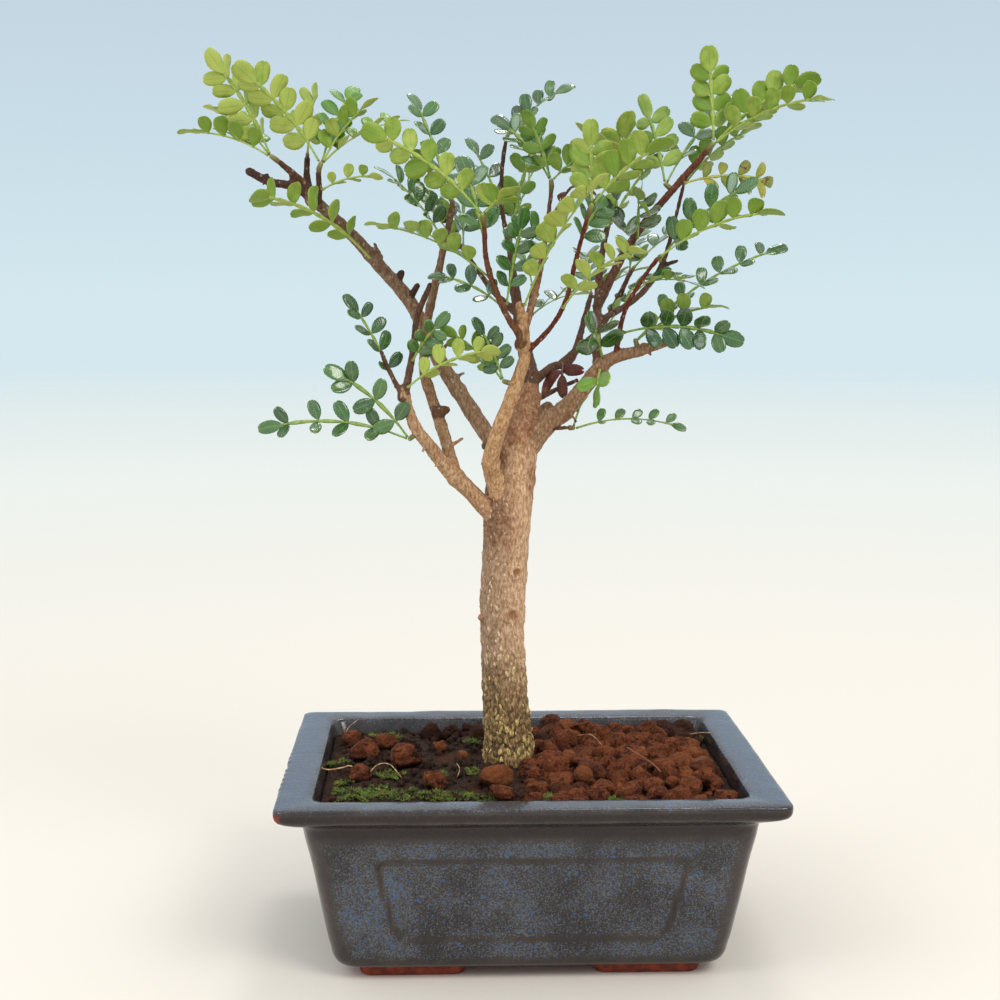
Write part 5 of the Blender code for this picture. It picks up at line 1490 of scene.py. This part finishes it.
def bent(leaf_data, base, inset, bend, way, twist):
    """The same leaf twisted on its rib and with its tip swung by some degrees to one side."""
    tip, pairs, facing, leaflet = leaf_data
    base = base + (tip - base).normalized() * inset
    chord = tip - base
    if bend:
        side = chord.orthogonal().normalized()
        side.rotate(Matrix.Rotation(math.tau * way / BEND_WAYS, 3, chord))
        chord = Matrix.Rotation(math.radians(bend), 3, side) @ chord
    facing = Matrix.Rotation(math.radians(twist), 3, chord) @ Vector(facing)
    return Leaf(base, base + chord, pairs, facing, leaflet)


def settle(leaf_data, base, inset, placed, same, buds, routes):
    """First bend of a leaf that is clear of the wood and of the leaves placed before."""
    for bend in BENDS:
        for way, twist in itertools.product(range(BEND_WAYS if bend else 1), TWISTS):
            leaf = bent(leaf_data, base, inset, bend, way, twist)
            skins = leaf.layers(BLADE / 2 + LEAF_CLEAR, leaf.faces)
            own = leaf.layers(BLADE / 2, leaf.leaflets)
            crossed = (any(skins.overlap(other) for other in placed)
                       or any(own.overlap(other) for other in same))
            near_bud = any((point - bud).length < BUD_RADIUS + BUD_CLEAR
                           for point in leaf.points for bud in buds)
            if not crossed and not near_bud and leaf.wood_gap(routes) >= WOOD_CLEAR:
                return leaf
    return None


def spray_base(foot, tips, routes, room):
    """Place beside the wood where a spray starts."""
    aim = sum(((tip - foot).normalized() for tip in tips), Vector()).normalized()
    _, middle, radius, heading, is_tip = wood_near(routes, foot)
    if not is_tip:
        out = foot - middle
        if out.length < radius * 0.5:
            out = aim.copy()
        aim = out - heading * out.dot(heading)
    elif aim.dot(heading) < 0.2:
        aim = aim + heading * (0.5 - aim.dot(heading))
    aim.normalize()
    base = middle + aim * (radius + room)
    while wood_near(routes, base)[0] < room - 0.1:
        base += aim * 0.1
    return base


def fill_sprays(routes):
    """Rule for the far side of the crown: leaves fan out from the crown's middle."""
    rng = random.Random(FILL_SEED)
    sprays = []
    for name, first, last, count in FILL:
        route = routes[name]
        for index in range(count):
            share = first + (last - first) * (index / max(1, count - 1))
            foot = route[min(len(route) - 1, round(share * (len(route) - 1)))][0]
            outward_way = (foot - CROWN_HEART).normalized()
            turn = (1 if index % 2 else -1) * rng.uniform(*FILL_TURN)
            outward_way.rotate(Matrix.Rotation(turn, 3, "Z"))
            outward_way.z += rng.uniform(*FILL_LIFT)
            tip = foot + outward_way.normalized() * rng.uniform(*FILL_REACH)
            leaf = (tip, FILL_PAIRS, FILL_FACING, FILL_LEAFLET)
            sprays.append(("dark", foot, [leaf], [FINE_FILL_PAIRS]))
    return sprays


def plan_sprays(routes):
    """All sprays with their leaves settled: tone, base, is there a bud, and leaves with their pairs."""
    wanted = [(tone, Vector(foot),
               [(Vector(tip), min(pairs, MOST_PAIRS), FACING[facing], leaflet)
                for tip, pairs, facing, leaflet in leaves],
               [leaf[1] for leaf in leaves])
              for tone, foot, leaves in SPRAYS]
    wanted += fill_sprays(routes)
    wanted += [("dry", Vector(foot), [(Vector(tip), pairs, FACING["half_upper"], leaflet)], [pairs])
               for foot, tip, pairs, leaflet in DRY_LEAVES]
    plans, skins, buds = [], [], []
    for tone, foot, leaves, full_pairs in wanted:
        has_bud = len(leaves) > 1
        room = GAP + BUD_RADIUS * BUD_ROOM if has_bud else GAP * 1.5
        base = spray_base(foot, [leaf[0] for leaf in leaves], routes, room)
        settled = []
        for leaf_data, full in zip(leaves, full_pairs):
            same = [leaf.layers(BLADE / 2, leaf.leaflets) for leaf, _ in settled]
            inset = BUD_RADIUS * BUD_INSET if has_bud else 0.0
            leaf = settle(leaf_data, base, inset, skins, same, buds, routes)
            if leaf is not None:
                settled.append((leaf, full))
        if settled:
            plans.append((tone, base, has_bud, settled))
            skins += [leaf.layers(BLADE / 2, leaf.faces) for leaf, _ in settled]
            buds += [base] if has_bud else []
    return plans


# Fine leaves

def leaflet_faces():
    """Quads of the upper skin, the underside and the rim of one leaflet."""
    across, count = len(ACROSS), STATIONS * len(ACROSS)
    top = [(i * across + j, (i + 1) * across + j, (i + 1) * across + j + 1, i * across + j + 1)
           for i in range(STATIONS - 1) for j in range(across - 1)]
    bottom = [tuple(index + count for index in reversed(face)) for face in top]
    border = [i * across for i in range(STATIONS)]
    border += [(STATIONS - 1) * across + j for j in range(1, across)]
    border += [i * across + across - 1 for i in reversed(range(STATIONS - 1))]
    border += [j for j in reversed(range(1, across - 1))]
    rim = [(a, a + count, b + count, b) for a, b in zip(border, border[1:] + border[:1])]
    return top, bottom + rim


UPPER_FACES, OTHER_FACES = leaflet_faces()


def leaflet_points(length, width, curl, fold, wave):
    """One leaflet in its own frame: along +X, across +Y, upper side to +Z."""
    u = 0.5 - 0.5 * np.cos(np.linspace(0.0, math.pi, STATIONS))
    t = u ** 1.22
    outline = (2 * np.sqrt(np.clip(t * (1 - t), 0, 1))) ** (1.3 - 0.5 * u)
    outline = np.maximum(outline, np.where(u < 0.5, 0.1, 0.16))
    scallop = np.where(np.arange(STATIONS) % 2, 1.0, 0.955)
    v = np.array(ACROSS)
    half = width / 2 * outline
    x = np.repeat((u * length)[:, None], len(v), axis=1)
    x -= 0.035 * length * (1 - np.abs(v))[None, :] * smooth(u, 0.86, 1.0)[:, None]
    y = half[:, None] * v[None, :] * np.where(np.abs(v) > 0.9, scallop[:, None], 1.0)
    z = fold * np.abs(y) - curl * length * (u ** 2)[:, None] * (1 + 0.4 * np.abs(v)[None, :])
    z += wave * np.sin(u * 9.0)[:, None] * v[None, :] * width * 0.05
    x -= (curl ** 2) * length * 0.5 * (u ** 3)[:, None]
    thick = BLADE_RIM + (BLADE_MIDDLE - BLADE_RIM) * (1 - np.abs(v)[None, :] ** 2) * np.ones_like(x)
    upper = np.stack([x, y, z + thick], axis=-1).reshape(-1, 3)
    lower = np.stack([x, y, z - thick], axis=-1).reshape(-1, 3)
    uv = np.stack([np.repeat(u[:, None], len(v), axis=1),
                   np.repeat(0.5 + 0.5 * v[None, :], STATIONS, axis=0)], axis=-1).reshape(-1, 2)
    return np.concatenate([upper, lower]), np.concatenate([uv, uv])


class Foliage:
    """Gathers the meshes of one spray."""

    def __init__(self):
        self.points, self.uvs, self.tones, self.joints = [], [], [], []
        self.faces, self.indices, self.total = [], [], 0

    def add(self, points, faces, indices, tone, uv=None, joint=None):
        points = np.asarray(points, dtype=float)
        self.points.append(points)
        self.uvs.append(np.zeros((len(points), 2)) if uv is None else uv)
        self.tones += [tone] * len(points)
        self.joints += [0.0] * len(points) if joint is None else list(joint)
        self.faces += [tuple(index + self.total for index in face) for face in faces]
        self.indices += indices
        self.total += len(points)

    def add_leaflet(self, origin, along, normal, length, width, rng, tone, curl):
        turn = Matrix.Rotation(math.radians(rng.uniform(-8, 22)), 3, along)
        normal = (turn @ normal).normalized()
        side = normal.cross(along).normalized()
        normal = along.cross(side)
        shape, uv = leaflet_points(length, width, curl * rng.uniform(0.2, 1.4), rng.uniform(0.06, 0.2),
                                   rng.uniform(-1, 1))
        base = np.array([along[:], side[:], normal[:]])
        shade = min(1.0, max(0.0, tone + rng.uniform(-0.3, 0.3)))
        self.add(shape @ base + np.array(origin[:]), UPPER_FACES + OTHER_FACES,
                 [0] * len(UPPER_FACES) + [1] * len(OTHER_FACES), shade, uv)

    def add_rib(self, leaf, stations):
        """Stalk and winged rib: stations of (distance, half width, half thickness, joint)."""
        points, joints = [], []
        for along, half, thick, joint in stations:
            centre, _, right, normal = leaf.axes(along / leaf.length)
            ring = ((-half, 0.0), (-0.35 * half, thick), (0.35 * half, thick), (half, 0.0),
                    (0.4 * half, -thick * 1.1), (-0.4 * half, -thick * 1.1))
            points += [centre + right * a + normal * b for a, b in ring]
            joints += [joint] * 6
        faces = [(5, 4, 3, 2, 1, 0), tuple(range(len(points) - 6, len(points)))]
        self.add_stem(points, faces + ring_sides(len(stations), 6), joints)

    def add_neck(self, route):
        """Short woody foot of a spray, from the branch to where its leaves start."""
        points, faces = sweep(route, NECK_SIDES)
        joints = [1.0 - 0.5 * (index // NECK_SIDES) / (len(route) - 1) for index in range(len(points))]
        self.add_stem(points, faces, joints)

    def add_stem(self, points, faces, joints):
        self.add([point[:] for point in points], faces, [2] * len(faces), 0.5, None, joints)


def rib_stations(leaf, pairs):
    """Places of the pairs, where the last leaflet starts, and the rib's stations."""
    first, pitch, reach = pair_places(pairs, leaf.length, leaf.leaflet)
    wing = min(0.85, 0.1 * leaf.leaflet)
    places = [first + pitch * (pair if pairs > 1 else 0.6) for pair in range(pairs)]
    stations = [(0.0, 0.42, 0.36, 0.8), (0.8, 0.36, 0.3, 0.2), (places[0] * 0.6, 0.34, 0.27, 0.0),
                (places[0] - 0.9, 0.42, 0.26, 0.0), (reach + 0.7, 0.22, 0.18, 0.3)]
    stations += [(place, 0.48, 0.33, 0.62) for place in places + [reach]]
    for before, place in zip(places, places[1:] + [reach]):
        span = place - before
        stations += [(before + 0.45, 0.36, 0.24, 0.3), (before + span * 0.4, wing * 0.8, 0.2, 0.0),
                     (before + span * 0.75, wing, 0.18, 0.0), (place - 0.35, wing * 0.7, 0.22, 0.2)]
    return places, reach, sorted(stations)


def dress_leaf(foliage, leaf, pairs, tone, rng):
    """Rib and leaflets of one leaf."""
    if pairs == FINE_FILL_PAIRS and leaf.leaflet == FILL_LEAFLET:
        pairs = 3 + (leaf.length > LONG_FILL)
    places, reach, stations = rib_stations(leaf, pairs)
    foliage.add_rib(leaf, stations)
    age = rng.uniform(0.15, 0.85)
    ratio = WIDTHS[tone] * rng.uniform(0.92, 1.1)
    curl = CURLS[tone]
    for pair, place in enumerate(places):
        size = leaf.leaflet * pair_share(pair, pairs)
        for side in (-1, 1):
            centre, heading, right, normal = leaf.axes(place / leaf.length)
            angle = LEAFLET_ANGLE + math.radians(rng.uniform(-13, 12))
            fold = FOLD + math.radians(rng.uniform(-16, 12))
            out = -right * side * math.cos(fold) + normal * math.sin(fold)
            along = (heading * math.cos(angle) + out * math.sin(angle)).normalized()
            up = (normal * math.cos(fold) + right * side * math.sin(fold)).normalized()
            length = size * rng.uniform(0.9, 1.06)
            root = centre - right * side * 0.3
            foliage.add_leaflet(root, along, up, length, length * ratio, rng, age, curl)
    centre, heading, _, normal = leaf.axes(reach / leaf.length)
    length = leaf.leaflet * TERMINAL
    foliage.add_leaflet(centre, heading, normal, length, length * ratio * 0.95, rng, age, curl)


def make_foliage():
    """One fine piece for each spray and each dried leaf, in the order of their nodes."""
    routes = wood_routes(TRUNK_STEP, WOOD_STEP)
    rng = random.Random(LEAF_SEED)
    materials = {tone: [side(tone) for side in (upper_material, under_material, stem_material)]
                 for tone in LEAF_COLOURS}
    counts = {"dry_leaf": 0, "leaf_spray": 0}
    for tone, base, has_bud, leaves in plan_sprays(routes):
        kind = "dry_leaf" if tone == "dry" else "leaf_spray"
        counts[kind] += 1
        number = counts[kind]
        foliage = Foliage()
        _, middle, radius, heading, is_tip = wood_near(routes, base)
        out = (base - middle).normalized()
        inside = middle - heading * NECK_SUNK if is_tip else middle
        radii, beyond = NECKS[has_bud]
        foliage.add_neck(list(zip((inside, middle + out * radius, base, base + out * beyond), radii)))
        for leaf, pairs in leaves:
            dress_leaf(foliage, leaf, pairs, tone, rng)
        name = f"dried_leaf_{number:02d}" if tone == "dry" else f"foliage_{number:02d}"
        piece = make_piece(name, np.concatenate(foliage.points), foliage.faces, materials[tone],
                           f"leaf_{tone}", (f"{kind}_{number:02d}",), foliage.indices,
                           np.concatenate(foliage.uvs), tone=foliage.tones, joint=foliage.joints)
        outward(piece.data)


# Camera, light and floor

def make_camera():
    yaw, pitch, roll = (math.radians(angle) for angle in (CAMERA_YAW, CAMERA_PITCH, CAMERA_ROLL))
    ahead = Vector((math.sin(yaw) * math.cos(pitch), math.cos(yaw) * math.cos(pitch), -math.sin(pitch)))
    right = Vector((math.cos(yaw), -math.sin(yaw), 0.0))
    up = right.cross(ahead)
    right, up = right * math.cos(roll) + up * math.sin(roll), up * math.cos(roll) - right * math.sin(roll)
    data = bpy.data.cameras.new("camera")
    data.lens = CAMERA_LENS
    data.sensor_width = 36.0
    data.clip_start = 0.01
    camera = link_object("camera", data)
    turn = Matrix((right, up, -ahead)).transposed().to_4x4()
    camera.matrix_world = Matrix.Translation(Vector(CAMERA_PLACE) * MM + HOME) @ turn
    bpy.context.scene.camera = camera


def make_light(name, place, size, power, target, colour):
    data = bpy.data.lights.new(name, "AREA")
    data.shape = "RECTANGLE"
    data.size, data.size_y = size
    data.energy = power
    data.color = colour
    light = link_object(name, data)
    light.location = place
    light.rotation_euler = (Vector(target) - Vector(place)).to_track_quat("-Z", "Y").to_euler()


def make_floor():
    """Pale floor that fades into the backdrop's blue."""
    shader = Shader("pale_floor", Roughness=0.9, Specular_IOR_Level=0.2)
    distance = shader.add("ShaderNodeVectorMath", {"operation": "LENGTH"})
    shader.plug(shader.object, distance.inputs[0])
    away = distance.outputs["Value"]
    colour = shader.mix(shader.step(away, *FLOOR_BLEND), srgb(*FLOOR_NEAR), srgb(*FLOOR_FAR))
    shader.plug(shader.step(away, *FLOOR_FADE, 1.0, 0.0), shader.surface.inputs["Alpha"])
    material = shader.finish(colour)
    work = bmesh.new()
    bmesh.ops.create_circle(work, cap_ends=True, segments=96, radius=FLOOR_RADIUS)
    mesh = bpy.data.meshes.new("floor")
    work.to_mesh(mesh)
    work.free()
    mesh.materials.append(material)
    floor = link_object("floor", mesh)


def make_sky():
    """Soft studio sky, its colours by height."""
    world = bpy.data.worlds.new("studio")
    bpy.context.scene.world = world
    world.use_nodes = True
    tree = world.node_tree
    coordinates = tree.nodes.new("ShaderNodeTexCoord")
    split = tree.nodes.new("ShaderNodeSeparateXYZ")
    ramp = tree.nodes.new("ShaderNodeValToRGB")
    tree.links.new(coordinates.outputs["Generated"], split.inputs[0])
    tree.links.new(split.outputs["Z"], ramp.inputs["Fac"])
    tree.links.new(ramp.outputs["Color"], tree.nodes["Background"].inputs["Color"])
    for index, (where, colour) in enumerate(SKY):
        element = ramp.color_ramp.elements[index] if index < 2 else ramp.color_ramp.elements.new(where)
        element.position = where
        element.color = (*srgb(*colour), 1.0)
    tree.nodes["Background"].inputs["Strength"].default_value = 1.0


make_camera()
make_floor()
make_sky()
for light_row in LIGHTS:
    make_light(*light_row)
bpy.context.scene.view_settings.view_transform = "Standard"
bpy.context.scene.view_settings.look = "None"
make_pot()
make_bed()
make_clods()
make_crumbs()
make_moss()
make_rootlets()
make_lenticels(make_wood())
make_foliage()
for node in ("drain_screen_left", "drain_screen_right"):
    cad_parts[node].data.materials.clear()
    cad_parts[node].data.materials.append(mesh_screen_material())
